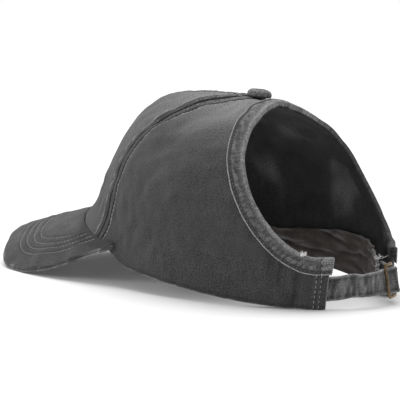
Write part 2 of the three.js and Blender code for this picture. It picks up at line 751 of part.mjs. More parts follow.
function roundedBox(left, right, low, high, radius, Kind) {
  const path = new Kind();
  path.moveTo(left + radius, low);
  path.lineTo(right - radius, low);
  path.absarc(right - radius, low + radius, radius, -Math.PI / 2, 0);
  path.lineTo(right, high - radius);
  path.absarc(right - radius, high - radius, radius, 0, Math.PI / 2);
  path.lineTo(left + radius, high);
  path.absarc(left + radius, high - radius, radius, Math.PI / 2, Math.PI);
  path.lineTo(left, low + radius);
  path.absarc(left + radius, low + radius, radius, Math.PI, 1.5 * Math.PI);
  return path;
}

function buckleGeometry() {
  const [w, h] = [BUCKLE_WIDTH / 2 - BUCKLE_BEVEL, BUCKLE_HEIGHT / 2 - BUCKLE_BEVEL];
  const windowHigh = BUCKLE_HEIGHT / 2 - BUCKLE_RAIL + BUCKLE_BEVEL;
  const inner = BUCKLE_CENTRE_BAR / 2 - BUCKLE_BEVEL;
  const outer = BUCKLE_WIDTH / 2 - BUCKLE_BAR + BUCKLE_BEVEL;
  const shape = roundedBox(-w, w, -h, h, BUCKLE_CORNER - BUCKLE_BEVEL, THREE.Shape);
  const windowCorner = 3 * BUCKLE_BEVEL;
  for (const [left, right] of [[-outer, -inner], [inner, outer]]) {
    shape.holes.push(roundedBox(left, right, -windowHigh, windowHigh, windowCorner, THREE.Path));
  }
  const raw = new THREE.ExtrudeGeometry(shape, {
    depth: BUCKLE_THICKNESS - 2 * BUCKLE_BEVEL,
    bevelThickness: BUCKLE_BEVEL,
    bevelSize: BUCKLE_BEVEL,
    bevelSegments: 1,
    curveSegments: 3,
  });
  raw.deleteAttribute("normal");
  raw.deleteAttribute("uv");
  const merged = mergeVertices(raw, 1e-3);
  const back = STRAP_THICKNESS / 2 + GAP + BUCKLE_BEVEL;
  const positions = merged.attributes.position;
  const points = evenly(positions.count - 1).map((_, i) =>
    strapPlace(BUCKLE_PLACE + positions.getX(i), back + positions.getZ(i), positions.getY(i)),
  );
  const triangles = [];
  for (let i = 0; i < merged.index.count; i += 3) {
    triangles.push([0, 1, 2].map((corner) => merged.index.getX(i + corner)));
  }
  return body(points, triangles);
}
add("buckle", buckleGeometry(), BRASS);

// Sweatband: inside the foot of the wall, standing clear of the seam tapes at its top and of the
// strap at its ends
const BAND_COLUMNS = 44;
const BAND_ROWS = [0, 0.25, 0.5, 0.75, 1];
const BAND_CLEARANCE = 3 * GAP;
const BAND_STRAP_CLEARANCE = 4.5 * GAP;
const BAND_TOP_CLEARANCE = PANEL_THICKNESS + TAPE_CLEARANCE + TAPE_THICKNESS + BAND_CLEARANCE;
const TUCK_MARGIN = 2;
const BAND_SPREAD_START = 24;
const BAND_FRONT_CLEARANCE = 1.2;

function strapDepth(angle) {
  const foot = footPoint(angle);
  const outward = outwardAt(angle);
  const x = foot.x;
  const y = foot.y - arcCentre;
  const along = x * outward.x + y * outward.y;
  const depth = along - Math.sqrt(Math.max(along * along - (x * x + y * y - arcRadius * arcRadius), 0));
  const out = angle < 0 ? farOut : 0;
  return depth - out + STRAP_THICKNESS / 2 + BAND_STRAP_CLEARANCE;
}

function bandDepth(angle, share) {
  const low = PANEL_THICKNESS + BAND_CLEARANCE + BAND_FRONT_CLEARANCE * overPeak(angle);
  const plain = Math.max(low, mix(low, BAND_TOP_CLEARANCE, smooth(share, 0, 0.5)));
  const tuckAngle = HEM_ANGLE - STRAP_TUCK / REAR_LENGTH / DEGREES - TUCK_MARGIN;
  const atEnd = smooth(Math.abs(angle), tuckAngle - BAND_SPREAD_START, tuckAngle);
  return atEnd > 0 ? mix(plain, strapDepth(angle), atEnd) : plain;
}

function bandFace(extra) {
  const end = HEM_ANGLE - SWEATBAND_END_SETBACK / REAR_LENGTH / DEGREES;
  return BAND_ROWS.map((share) =>
    evenly(BAND_COLUMNS).map((column) => {
      const angle = mix(-end, end, column);
      const height = mix(SWEATBAND_LIFT, bandHeight(angle), share);
      return inCrown(angle, downAt(angle, height), bandDepth(angle, share) + extra);
    }),
  );
}
add("sweatband", sheet(bandFace(0), bandFace(SWEATBAND_THICKNESS)), BAND);

// Button: a covered dome on a shank through the crown, held by a rivet inside
const BUTTON_SIDES = 24;
const BUTTON_RIM_SHARE = 0.93;
const BUTTON_UNDERSIDE_SHARE = 0.8;
const BUTTON_PROFILE = [
  { out: 1.0, up: 0.25 },
  { out: 0.97, up: 0.48 },
  { out: 0.87, up: 0.74 },
  { out: 0.66, up: 0.91 },
  { out: 0.35, up: 0.98 },
];

function turned(profile, sides) {
  const [top, bottom] = [profile[0], profile[profile.length - 1]];
  const points = [new THREE.Vector3(0, 0, top[1])];
  for (const [radius, height] of profile.slice(1, -1)) {
    for (let i = 0; i < sides; i++) {
      const turn = (2 * Math.PI * i) / sides;
      points.push(new THREE.Vector3(radius * Math.cos(turn), radius * Math.sin(turn), height));
    }
  }
  points.push(new THREE.Vector3(0, 0, bottom[1]));
  const triangles = [];
  const rings = profile.length - 2;
  const at = (ring, i) => 1 + ring * sides + (i % sides);
  for (let i = 0; i < sides; i++) {
    triangles.push([0, at(0, i), at(0, i + 1)]);
    triangles.push([points.length - 1, at(rings - 1, i + 1), at(rings - 1, i)]);
    for (let ring = 0; ring + 1 < rings; ring++) {
      const [a, b, c, d] = [at(ring, i), at(ring, i + 1), at(ring + 1, i + 1), at(ring + 1, i)];
      triangles.push([a, c, b], [a, d, c]);
    }
  }
  return body(points, triangles);
}

const domeProfile = BUTTON_PROFILE.map(({ out, up }) => [
  out * BUTTON_RADIUS,
  BUTTON_LIFT + up * BUTTON_DOME_HEIGHT,
]).reverse();
const button = turned(
  [
    [0, BUTTON_LIFT + BUTTON_DOME_HEIGHT],
    ...domeProfile,
    [BUTTON_RIM_SHARE * BUTTON_RADIUS, BUTTON_LIFT],
    [BUTTON_UNDERSIDE_SHARE * BUTTON_RADIUS, BUTTON_LIFT + BUTTON_UNDERSIDE],
    [SHANK_RADIUS, BUTTON_LIFT + BUTTON_UNDERSIDE],
    [SHANK_RADIUS, -RIVET_DEPTH],
    [RIVET_RADIUS, -RIVET_DEPTH],
    [RIVET_RADIUS, -RIVET_DEPTH - RIVET_THICKNESS],
    [0, -RIVET_DEPTH - RIVET_THICKNESS],
  ],
  BUTTON_SIDES,
);
button.rotateX(-BUTTON_TILT * DEGREES);
button.translate(0, BUTTON_SETBACK, crown(0, PROBE).z);
add("top_button", button, TWILL);

// Bring the origin to the middle of the bounding box's bottom.
const bounds = new THREE.Box3().setFromObject(cap);
const middle = bounds.getCenter(new THREE.Vector3());
for (const mesh of cap.children) mesh.geometry.translate(-middle.x, -middle.y, -bounds.min.z);

export default cap;
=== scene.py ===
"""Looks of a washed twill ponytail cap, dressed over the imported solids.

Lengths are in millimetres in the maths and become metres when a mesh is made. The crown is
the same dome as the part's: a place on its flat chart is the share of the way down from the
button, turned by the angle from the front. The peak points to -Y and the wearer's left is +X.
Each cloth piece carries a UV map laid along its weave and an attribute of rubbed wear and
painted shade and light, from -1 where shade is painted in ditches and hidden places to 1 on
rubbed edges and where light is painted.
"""

import math

import bmesh
import bpy
import numpy as np
from bpy.props import FloatProperty, FloatVectorProperty, IntProperty, PointerProperty
from mathutils import Matrix, Vector


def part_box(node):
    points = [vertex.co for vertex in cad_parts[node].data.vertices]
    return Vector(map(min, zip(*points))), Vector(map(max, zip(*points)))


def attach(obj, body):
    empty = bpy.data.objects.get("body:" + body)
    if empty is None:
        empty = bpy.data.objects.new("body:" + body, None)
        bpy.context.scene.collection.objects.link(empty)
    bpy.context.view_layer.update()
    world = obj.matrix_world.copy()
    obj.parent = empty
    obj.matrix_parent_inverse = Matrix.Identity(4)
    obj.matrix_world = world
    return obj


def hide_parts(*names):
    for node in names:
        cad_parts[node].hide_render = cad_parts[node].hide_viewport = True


bl_info = {
    "name": "Ponytail baseball cap",
    "version": (1, 0, 0),
    "blender": (4, 5, 0),
    "location": "3D View > Sidebar > Cap",
    "description": "Dresses the packed cap in washed twill, stitching, brass and worn edges",
    "category": "Object",
}

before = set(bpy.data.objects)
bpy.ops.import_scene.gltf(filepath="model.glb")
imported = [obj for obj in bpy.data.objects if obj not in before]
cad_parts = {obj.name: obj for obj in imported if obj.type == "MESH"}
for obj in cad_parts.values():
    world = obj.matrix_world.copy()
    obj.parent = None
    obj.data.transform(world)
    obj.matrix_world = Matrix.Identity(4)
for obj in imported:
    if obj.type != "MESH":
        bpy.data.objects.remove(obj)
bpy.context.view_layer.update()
MM = 0.001
IN_MM = (1000, 1000, 1000)
TAU = 2 * math.pi

# Crown dome
HALF_WIDTH = 76.3
FRONT_LENGTH = 99.0
REAR_LENGTH = 98.2
CROWN_HEIGHT = 111.6
BUTTON_SETBACK = 8.1
SIDE_FULLNESS = 1.8
SIDE_STEEPNESS = 0.443
FRONT_FULLNESS = 0.378
FRONT_STEEPNESS = 0.729
FRONT_SPREAD = 46
FRONT_EDGE = 2.4
FRONT_FLARE = 11.7
FLARE_HEIGHT = 10
RIM_SLOPE = 0.143
RIM_LIFT_START = 68.7
RIM_LIFT_SPREAD = 18.7
RIM_REST_DROP = 1.15

# Peak
PEAK_REACH = 153.9
PEAK_HALF_WIDTH = 76.3
PEAK_ROOT = 37.9
PEAK_ROOT_HEIGHT = 37.8
PEAK_SLOPE = 0.309
PEAK_DROP_AT_SIDE = 36.4
PEAK_CORNER_ANGLE = 66.4
PEAK_CORNER_SPREAD = 17.2
PEAK_SIDE_SQUARENESS = 1.314
PEAK_FRONT_SQUARENESS = 0.409
PEAK_CORNER_TUCK = 4.2
PEAK_TUCK_START = 85
PEAK_COVER = 1.4

# Cloth
GAP = 0.3
PANEL_THICKNESS = 1.3
HEM_THICKNESS = 2.6
HEM_FOLD_WIDTH = 8
TAPE_THICKNESS = 0.9
TAPE_WIDTH = 12
SWEATBAND_THICKNESS = 1.2
SWEATBAND_LIFT = 0.6
SWEATBAND_END_SETBACK = 1.2
BUTTON_HOLE = 3.4
PEAK_THICKNESS = 2 * PEAK_COVER + GAP

# Rear opening and its binding
HEM_ANGLE = 150.2
HEM_HEIGHT = 28.3
OPENING_FRONT_ANGLE = 112.8
OPENING_FRONT_SHARE = 0.41
OPENING_TOP = 13.2
OPENING_LENGTH_SHARE = 0.845
BINDING_WIDTH = 8.5
BINDING_INNER_WIDTH = 6
BINDING_LEAF = 1.0
BINDING_OVERHANG = 1.0
BINDING_STAND_OFF = 1.5 * GAP
BINDING_SLOT = 2.3 * GAP
BINDING_NARROW = 0.62
BINDING_NARROW_SPREAD = 0.14
BINDING_END_ROW = 7.4
TUFT_ALONG = 18.5

# Strap, loop and buckle
STRAP_WIDTH = 13.7
STRAP_THICKNESS = 1.5
STRAP_BACK_SHARE = 0.962
STRAP_TUCK = 11
STRAP_HEIGHT_AT_HEM = 11.2
STRAP_HEIGHT = 12.8
STRAP_LEAN = 12
LOOP_THICKNESS = 1.1
LOOP_WIDTH = 13
BUCKLE_PLACE = 16
BUCKLE_WIDTH = 15
BUCKLE_HEIGHT = 20
BUCKLE_THICKNESS = 1.4
BUCKLE_CENTRE_BAR = 1.4
BUCKLE_RAIL = 2.4
BUCKLE_CORNER = 2.2
BAR_SEEN = 1.3
RAIL_SEEN = 1.9
BUCKLE_INNER_CORNER = 0.9

# Button
BUTTON_RADIUS = 7.2
BUTTON_DOME_HEIGHT = 4.5
BUTTON_LIFT = 0.3
BUTTON_HOLLOW = 0.5
BUTTON_TILT = 5
SHANK_RADIUS = 1.6
RIVET_RADIUS = 4.2
RIVET_THICKNESS = 1.0
RIVET_DEPTH = 3.2

# The seam between a front and a side panel: share of the way down, angle from the front
SEAM_LINE = [
    (0.0, 44.6),
    (0.1, 45.9),
    (0.3, 48.7),
    (0.5, 51.5),
    (0.7, 54.1),
    (0.8, 55.0),
    (0.9, 55.6),
    (1.0, 55.8),
]

# The opening's edge from its foremost point to the hem: share back to the hem, share down to it
OPENING_LOWER = [
    (0.0, 0.0),
    (0.018, 0.18),
    (0.063, 0.338),
    (0.128, 0.481),
    (0.211, 0.61),
    (0.307, 0.726),
    (0.417, 0.827),
    (0.535, 0.909),
    (0.666, 0.968),
    (0.809, 0.999),
    (1.0, 1.0),
]

# And up to the back centre: share back to the centre, share up to the opening's top
OPENING_UPPER = [(0.012, 0.255), (0.065, 0.529), (0.217, 0.794), (0.494, 0.924), (1.0, 1.0)]

# Folds and dents: angle and share down at both ends, half width, height
FOLDS = [
    (-36, 0.58, -18, 0.32, 17, 2.0),
    (0, 0.66, 0, 0.22, 6, -1.2),
    (0, 0, 0, 0, 12, -1.6),
    (85, 0.05, 95, 0.06, 7, 1.1),
    (-85, 0.05, -95, 0.06, 7, 1.1),
    (-75, 0.42, -62, 0.75, 12, -1.2),
    (88, 0.24, 70, 0.34, 7, -1.1),
    (104, 0.3, 84, 0.42, 8, 0.8),
    (132, 0.88, 133, 0.99, 4.5, 0.9),
    (137.5, 0.89, 138, 0.99, 4, -0.9),
    (-150, 0.8, -150, 1.0, 22, -2.4),
    (-146, 0.78, -122, 0.6, 14, -2.2),
    (-100, 0.8, -112, 0.6, 9, -1.2),
    (24, 0.95, 30, 0.8, 6, 0.7),
    (-28, 0.95, -24, 0.8, 6, 0.6),
]

# How far the sweatband's top stands above the rim: angle either side of the front, height
SWEATBAND_HEIGHTS = [
    (0, 20),
    (60, 18),
    (78, 15.5),
    (90, 20),
    (102, 25),
    (118, 27),
    (132, 25),
    (150, 23),
]

# The strap's way through the buckle and the loop's way round it: distance along from the
# buckle's middle in buckle widths, distance out
STRAP_WEAVE = [
    (-1.0, 0.0),
    (-0.6, -0.1),
    (-0.38, 0.0),
    (-0.24, 1.0),
    (-0.12, 3.0),
    (-0.03, 4.6),
    (0.06, 5.0),
    (0.135, 4.2),
    (0.17, 2.8),
    (0.18, 1.2),
    (0.2, -0.3),
    (0.28, -1.35),
    (0.4, -1.6),
    (0.7, -2.1),
    (1.2, -3.2),
]
LOOP_WAY = [
    (1.9, -1.6),
    (1.4, -1.6),
    (0.95, -0.4),
    (0.68, 1.8),
    (0.52, 3.1),
    (0.42, 3.5),
    (0.325, 3.0),
    (0.295, 1.8),
    (0.33, 0.55),
    (0.44, 0.12),
    (0.6, 0.12),
]

# The button's dome: share of its radius, share of its height
BUTTON_DOME = [(0.0, 1.0), (0.35, 0.98), (0.66, 0.91), (0.87, 0.74), (0.97, 0.48), (1.0, 0.25)]

# Painted shade along the soft folds ahead of each hem, painted light where the depth is below
# nought: angle, half width, depth of tone, share down at both ends
HEM_FOLD_SHADES = [
    (127.0, 1.3, 0.30, 0.80, 0.93),
    (132.5, 0.9, 0.55, 0.82, 0.96),
    (138.0, 1.1, 0.60, 0.85, 1.02),
    (135.2, 0.8, -0.30, 0.86, 0.97),
]

# Across each hem, from its edge: rise, distance, half width of the ridges, then of the rubbed
# wear and painted shade: painted shade on the two stitching rows, a paler rubbed line beside
# each, and a pale rubbed fold edge
HEM_ROWS = (4.6, 7.6)
HEM_RIDGES = [(-0.3, HEM_ROWS[0], 0.5), (-0.3, HEM_ROWS[1], 0.5), (0.28, 6.2, 1.1)]
HEM_WEAR_AND_SHADE = [(-0.5, row, 0.5) for row in HEM_ROWS] + [(0.35, row + 0.9, 0.6) for row in HEM_ROWS]
HEM_WEAR_AND_SHADE.append((0.95, 0.5, 0.55))

# Creases along the sweatband: height above the rim, how far they wander, seed
BAND_CREASES = [(7.5, 2.6, 81), (13.0, 3.2, 82), (18.5, 2.4, 83)]

# Ripples of the washed cloth and of the peak: height, wave length, seed
CRUMPLES = [(0.375, 44, 3), (0.225, 21, 4), (0.12, 10.5, 5)]
PEAK_RIPPLES = [(0.30, 34, 62), (0.14, 13, 63)]
GATHER = 0.22

# Finishes of the pieces that aren't washed twill
SLOTS = {
    "seam_tape_centre": "dark_tape",
    "seam_tape_left": "dark_tape",
    "seam_tape_right": "dark_tape",
    "sweatband": "sweatband_twill",
    "buckle": "antique_brass",
}

# How finely the pieces are meshed: rows and columns, or steps along
FRONT_GRID = (150, 116)
SIDE_GRID = (140, 200)
HEM_ROWS_OF_MESH = 36
BINDING_STEPS = 470
TAPE_GRID = (110, 21)
PEAK_GRID = (100, 210)
PEAK_EDGE_STEPS = 900
STRAP_STEPS = 300
LOOP_STEPS = 160
SWEATBAND_GRID = (28, 380)
BUTTON_SIDES = 96

# Tufts of loose threads: how many, how far they reach, how much they rise, seed
BINDING_TUFT = (34, 2.5, 1.6, 206)
SWEATBAND_TUFT = (18, 4.4, 1.2, 201)
SWEATBAND_FRAYS = {
    8: (8, 2.6, 0.0, 202),
    13: (8, 2.6, 0.0, 203),
    18: (8, 2.6, 0.0, 204),
    23: (8, 2.6, 0.0, 205),
}
THREAD_RADIUS = 0.17

# How finely the crown is measured, and how close pieces and stitches come to the floor
MERIDIAN_STEPS = 240
SHARE_STEPS = 600
PROBE = 0.004
CHART_SCALE = 150
CLEAR_OF_FLOOR = 0.05
STITCH_CLEAR_OF_FLOOR = 0.5
LOWEST_HEM_STITCH = 1.6

CAMERA_PLACE = (0.94237, 0.66515, 0.16712)
CAMERA_AIM = (0.01476, 0.00805, 0.04860)
CAMERA_ROLL = 3.101
FLOOR_HALF = 12.0

# Filled by the operators as they go: lines to stitch, and tufts of loose threads
STITCH_LINES = {"rows": [], "tacks": [], "dark": []}
FRAYS = []
MADE = {}


def setting_length(name, description, default):
    text = {"name": name, "description": description}
    return FloatProperty(**text, default=default, min=0, max=0.1, unit="LENGTH", precision=5)


def setting_number(name, description, default):
    return FloatProperty(name=name, description=description, default=default, min=0)


def setting_colour(name, description, default):
    text = {"name": name, "description": description}
    return FloatVectorProperty(**text, default=default, size=3, min=0, max=1, subtype="COLOR")


class CapClothSettings(bpy.types.PropertyGroup):
    """The washed twill's colours, weave and softness"""

    # Painted shade in ditches, creases and hidden places darkens the cloth towards Dye; rubbed wear
    # and painted light from above lighten it towards Faded dye and Rubbed edge.
    dark: setting_colour("Dye", "Cloth where the dye has held", (0.014, 0.014, 0.0148))
    light: setting_colour("Faded dye", "Cloth where the dye has washed out", (0.118, 0.118, 0.121))
    worn_and_lit: setting_colour("Rubbed edge", "Cloth rubbed pale on folds", (0.330, 0.330, 0.334))
    tape_dark: setting_colour("Tape", "Seam tape inside the crown", (0.010, 0.010, 0.011))
    tape_light: setting_colour("Tape threads", "Raised threads of the tape", (0.070, 0.068, 0.068))
    # The sweatband's darker colour also stands for painted shade in its creases.
    band_dark: setting_colour("Sweatband", "Sweatband cloth in its creases", (0.045, 0.037, 0.033))
    band_light: setting_colour("Sweatband ridges", "Its cloth on the ridges", (0.180, 0.152, 0.140))
    weave_pitch: setting_length("Twill pitch", "Distance between two twill lines", 0.00082)
    brass: setting_colour("Brass", "Buckle where it is rubbed bright", (0.290, 0.198, 0.105))
    brass_dark: setting_colour("Tarnish", "Buckle where it has gone dark", (0.090, 0.052, 0.024))


class CapStitchSettings(bpy.types.PropertyGroup):
    """The topstitching's thread and where its rows run"""

    thread: setting_colour("Thread", "Topstitching thread", (0.340, 0.340, 0.345))
    dark_thread: setting_colour("Dark thread", "Thread along the binding", (0.110, 0.110, 0.112))
    length: setting_length("Stitch length", "Length of one stitch", 0.0021)
    gap: setting_length("Stitch gap", "Gap between two stitches", 0.0004)
    width: setting_length("Thread width", "Width of the thread", 0.00046)
    seam_inset: setting_length("Seam inset", "From a panel seam to its stitching row", 0.0058)
    binding_inset: setting_length("Binding inset", "From the binding's edge to its row", 0.0017)
    peak_first: setting_length("First peak row", "From the peak's edge to its outer row", 0.0114)
    peak_pitch: setting_length("Peak row pitch", "Between two rows on the peak", 0.0047)
    peak_rows: IntProperty(name="Peak rows", description="How many", default=4, min=1, max=9)
    seed: IntProperty(name="Seed", description="Unevenness of the stitching", default=7, min=0)


class CapStageSettings(bpy.types.PropertyGroup):
    """The floor, the light and the camera"""

    floor: setting_colour("Floor", "Colour of the floor", (0.90, 0.90, 0.90))
    sky: setting_number("Sky", "Strength of the even light", 0.5)
    key: setting_number("Key light", "Strength of the wide light overhead", 2.4)
    low: setting_number("Low light", "Strength of the low light from the left", 0.9)
    glow: setting_number("Floor glow", "Light that the lit floor gives itself", 0.05)
    lens: FloatProperty(name="Lens", description="Focal length in mm", default=175.95, min=1)


# Small helpers


def mixed(a, b, share):
    return a + (b - a) * share


def smoothstep(value, low, high):
    share = np.clip((value - low) / (high - low), 0, 1)
    return share * share * (3 - 2 * share)


def bump(value, middle, half):
    return np.exp(-(((value - middle) / half) ** 2))


def ridges(distance, marks):
    """Soft ridges and grooves along a line: each mark is a rise, a distance and a half width."""
    return sum(rise * bump(distance, at, half) for rise, at, half in marks)


def table_at(table, at):
    keys, values = zip(*table)
    return np.interp(at, keys, values)


def ripple(x, y, wave, seed, waves=11):
    """Smooth repeatable unevenness, mostly between -1 and 1, with about one hump each wave."""
    rng = np.random.default_rng(seed)
    total = np.zeros(np.broadcast(x, y).shape)
    for _ in range(waves):
        turn, start, share = rng.uniform(0, TAU), rng.uniform(0, TAU), rng.uniform(0.65, 1.5)
        total += np.sin(TAU * share / wave * (x * math.cos(turn) + y * math.sin(turn)) + start)
    return total * math.sqrt(2 / waves) / 1.4


def ripples(x, y, table):
    return sum(height * ripple(x, y, wave, seed) for height, wave, seed in table)


def unit(vectors):
    return vectors / np.maximum(np.linalg.norm(vectors, axis=-1, keepdims=True), 1e-12)


def grid_normals(points):
    """Normals of a grid of points, out of rows crossed with columns."""
    return unit(np.cross(np.gradient(points, axis=1), np.gradient(points, axis=0)))


def lengths_along(points, axis):
    steps = np.linalg.norm(np.diff(points, axis=axis), axis=-1)
    start = np.zeros_like(np.take(steps, [0], axis=axis))
    return np.concatenate([start, np.cumsum(steps, axis=axis)], axis=axis)


def rounding(distance, radius):
    """How far a face drops towards an edge that is rounded off."""
    inside = radius - np.minimum(distance, radius)
    return radius - np.sqrt(np.maximum(radius * radius - inside * inside, 0))


def arc(centre, radii, start, stop, steps):
    """Points round part of an ellipse, from one quarter turn to another."""
    turns = np.linspace(start, stop, steps) * math.pi / 2
    return [(centre[0] + radii[0] * math.cos(t), centre[1] + radii[1] * math.sin(t)) for t in turns]


def crowded(count, strength, reach, at=(0, 1)):
    """Shares from 0 to 1, closer together near the given places."""
    fine = np.linspace(0, 1, 2001)
    crowd = 1 + sum(strength * bump(fine, place, reach) for place in at)
    walked = np.concatenate([[0], np.cumsum((crowd[1:] + crowd[:-1]) / 2)])
    return np.interp(np.linspace(0, walked[-1], count), walked, fine)


class SmoothLine:
    """A centripetal Catmull-Rom line through points."""

    def __init__(self, points):
        self.points = np.asarray(points, float)

    def at(self, shares):
        """Points at shares of the way, each stretch between two points counting alike."""
        p = self.points
        last = len(p) - 1
        p = np.vstack([2 * p[0] - p[1], p, 2 * p[last] - p[last - 1]])
        place = np.asarray(shares, float) * last
        i = np.clip(np.floor(place).astype(int), 0, last - 1)
        t = (place - i)[:, None]
        a, b, c, d = p[i], p[i + 1], p[i + 2], p[i + 3]
        one = np.sqrt(np.linalg.norm(b - a, axis=1))[:, None]
        two = np.sqrt(np.linalg.norm(c - b, axis=1))[:, None]
        three = np.sqrt(np.linalg.norm(d - c, axis=1))[:, None]
        into = ((b - a) / one - (c - a) / (one + two) + (c - b) / two) * two
        out = ((c - b) / two - (d - b) / (two + three) + (d - c) / three) * two
        bend, twist = 3 * (c - b) - 2 * into - out, 2 * (b - c) + into + out
        return b + into * t + bend * t**2 + twist * t**3

    def by_length(self, shares):
        """Points at even shares of the line's length, and the line's directions there."""
        fine = np.linspace(0, 1, 4001)
        points = self.at(fine)
        walked = lengths_along(points[:, None, :], 0)[:, 0]
        at = np.interp(np.asarray(shares) * walked[-1], walked, fine)
        ahead, behind = np.minimum(at + 1e-4, 1), np.maximum(at - 1e-4, 0)
        return self.at(at), unit(self.at(ahead) - self.at(behind))


# The crown


def peak_top(x, y):
    """Height of the peak's upper face over a place on the floor plan."""
    fall = PEAK_DROP_AT_SIDE * (x / PEAK_HALF_WIDTH) ** 2
    return np.maximum(PEAK_ROOT_HEIGHT + PEAK_SLOPE * (y + FRONT_LENGTH) - fall, PEAK_THICKNESS)


def over_peak(angle):
    """1 where the peak is sewn on, 0 where the crown ends in its own rim."""
    half = PEAK_CORNER_SPREAD / 2
    return 1 - smoothstep(np.abs(angle), PEAK_CORNER_ANGLE - half, PEAK_CORNER_ANGLE + half)


def foot_point(angle):
    """The foot of the crown: on the peak in front, and on the rim behind it."""
    turn = np.radians(angle)
    length = np.where(np.cos(turn) > 0, FRONT_LENGTH, REAR_LENGTH)
    x, y = HALF_WIDTH * np.sin(turn), -length * np.cos(turn)
    climb = RIM_SLOPE * RIM_LIFT_SPREAD * np.log1p(np.exp((RIM_LIFT_START - y) / RIM_LIFT_SPREAD))
    rim = np.maximum(climb - RIM_REST_DROP, 0)
    return np.stack([x, y, mixed(rim, peak_top(x, y), over_peak(angle))], -1)


def dome_point(angle, turn):
    """A place on the bare dome, the turn going from 0 at the foot to a quarter at the button."""
    foot = foot_point(angle)
    ahead = np.maximum(np.cos(np.radians(angle)), 0)
    side = np.tan(np.radians(np.minimum(np.abs(angle), 89.999)))
    side = side / math.tan(math.radians(FRONT_SPREAD))
    front = 1 / (1 + side**FRONT_EDGE)
    reach = np.maximum(np.cos(turn), 0) ** mixed(SIDE_FULLNESS, FRONT_FULLNESS, front)
    lift = np.maximum(np.sin(turn), 0) ** mixed(SIDE_STEEPNESS, FRONT_STEEPNESS, front)
    rise = (CROWN_HEIGHT - foot[..., 2]) * lift
    wide = reach * (1 + FRONT_FLARE / FRONT_LENGTH * ahead * (np.exp(-rise / FLARE_HEIGHT) - 1))
    return np.stack(
        [foot[..., 0] * wide, foot[..., 1] * wide + BUTTON_SETBACK * lift, foot[..., 2] + rise], -1
    )


def meridian_tables():
    """Turns at shares of the way down for each degree round the crown, and the way's lengths."""
    part = np.linspace(0, 1, MERIDIAN_STEPS + 1)
    low = part**2.2
    turns = low / (low + (1 - part) ** 2.8) * math.pi / 2
    angles = np.arange(-180, 181)
    walked = lengths_along(dome_point(angles[:, None] * 1.0, turns[None, :]), 1)
    shares = np.linspace(0, 1, SHARE_STEPS + 1) ** 2
    found = [np.interp((1 - shares) * way[-1], way, turns) for way in walked]
    return np.array(found), walked[:, -1]


TURNS, MERIDIAN_LENGTHS = meridian_tables()


def meridian_length(angle):
    return np.interp(angle, np.arange(-180, 181), MERIDIAN_LENGTHS)


def turn_at(angle, down):
    """The dome's turn at a share of the way down, read from the tables."""
    column = np.sqrt(np.clip(down, 0, 1)) * SHARE_STEPS
    i = np.clip(np.floor(angle + 180).astype(int), 0, 359)
    j = np.clip(np.floor(column).astype(int), 0, SHARE_STEPS - 1)
    f, g = angle + 180 - i, column - j
    near = mixed(TURNS[i, j], TURNS[i, j + 1], g)
    far = mixed(TURNS[i + 1, j], TURNS[i + 1, j + 1], g)
    return mixed(near, far, f)


def flat(angle, down):
    """The crown laid flat: the button in the middle and the front towards +Y."""
    turn = np.radians(angle)
    return np.stack([down * np.sin(turn), down * np.cos(turn)], -1)


def angle_down(place):
    across, ahead = place[..., 0], place[..., 1]
    return np.degrees(np.arctan2(across, ahead)), np.hypot(across, ahead)


def bare_crown(place):
    angle, down = angle_down(place)
    point = dome_point(angle, turn_at(angle, down))
    point[..., 2] -= np.maximum(down - 1, 0) * meridian_length(angle)
    return point


def normal_of(surface, place):
    x, y = np.array([PROBE, 0]), np.array([0, PROBE])
    across = surface(place + x) - surface(place - x)
    along = surface(place + y) - surface(place - y)
    return unit(np.cross(along, across))


def fold_height(place):
    """Folds and dents, each along a line on the chart."""
    height = np.zeros(place.shape[:-1])
    for from_angle, from_down, to_angle, to_down, half, rise in FOLDS:
        start = flat(from_angle, from_down)
        line = flat(to_angle, to_down) - start
        share = np.clip((place - start) @ line / max(line @ line, PROBE**2), 0, 1)
        distance = np.linalg.norm(place - start - share[..., None] * line, axis=-1)
        height += rise * np.exp(-((CHART_SCALE * distance / half) ** 2))
    return height


def crumple_height(place):
    """The soft unevenness of washed cloth, none at the rim and round the button."""
    down = np.hypot(place[..., 0], place[..., 1])
    x, y = CHART_SCALE * place[..., 0], CHART_SCALE * place[..., 1]
    soft = ripples(x, y, CRUMPLES) * smoothstep(down, 0.05, 0.2)
    soft = soft * (1 - smoothstep(down, 0.9, 0.985))
    turn = np.arctan2(place[..., 0], place[..., 1])
    gathered = np.sin(19 * turn + 1.4 * np.sin(4 * turn)) * smoothstep(down, 0.06, 0.12)
    return soft + GATHER * gathered * (1 - smoothstep(down, 0.16, 0.34))


def crown(place):
    """The crown's outer face, with its folds, dents and crumples."""
    height = fold_height(place) + crumple_height(place)
    return bare_crown(place) + normal_of(bare_crown, place) * height[..., None]


def in_crown(place, depth):
    """A place at a depth inside the crown's outer face."""
    return crown(place) - normal_of(crown, place) * np.asarray(depth)[..., None]


def down_at(angle, height):
    return 1 - height / meridian_length(angle)


def seam_angle(down):
    return table_at(SEAM_LINE, np.minimum(down, 1))


def outward_at(angle):
    """The level way out of the crown's foot."""
    turn = np.radians(angle)
    length = np.where(np.cos(turn) > 0, FRONT_LENGTH, REAR_LENGTH)
    return unit(np.stack([np.sin(turn) / HALF_WIDTH, -np.cos(turn) / length, 0 * turn], -1))


HEM_SHARE = float(down_at(HEM_ANGLE, HEM_HEIGHT))
TOP_SHARE = OPENING_TOP / float(meridian_length(180))
HOLE_SHARE = BUTTON_HOLE / float(meridian_length(0))
SEAM_SHIFT = 0.7 * GAP / HALF_WIDTH
HEM_END = 1 - OPENING_LENGTH_SHARE


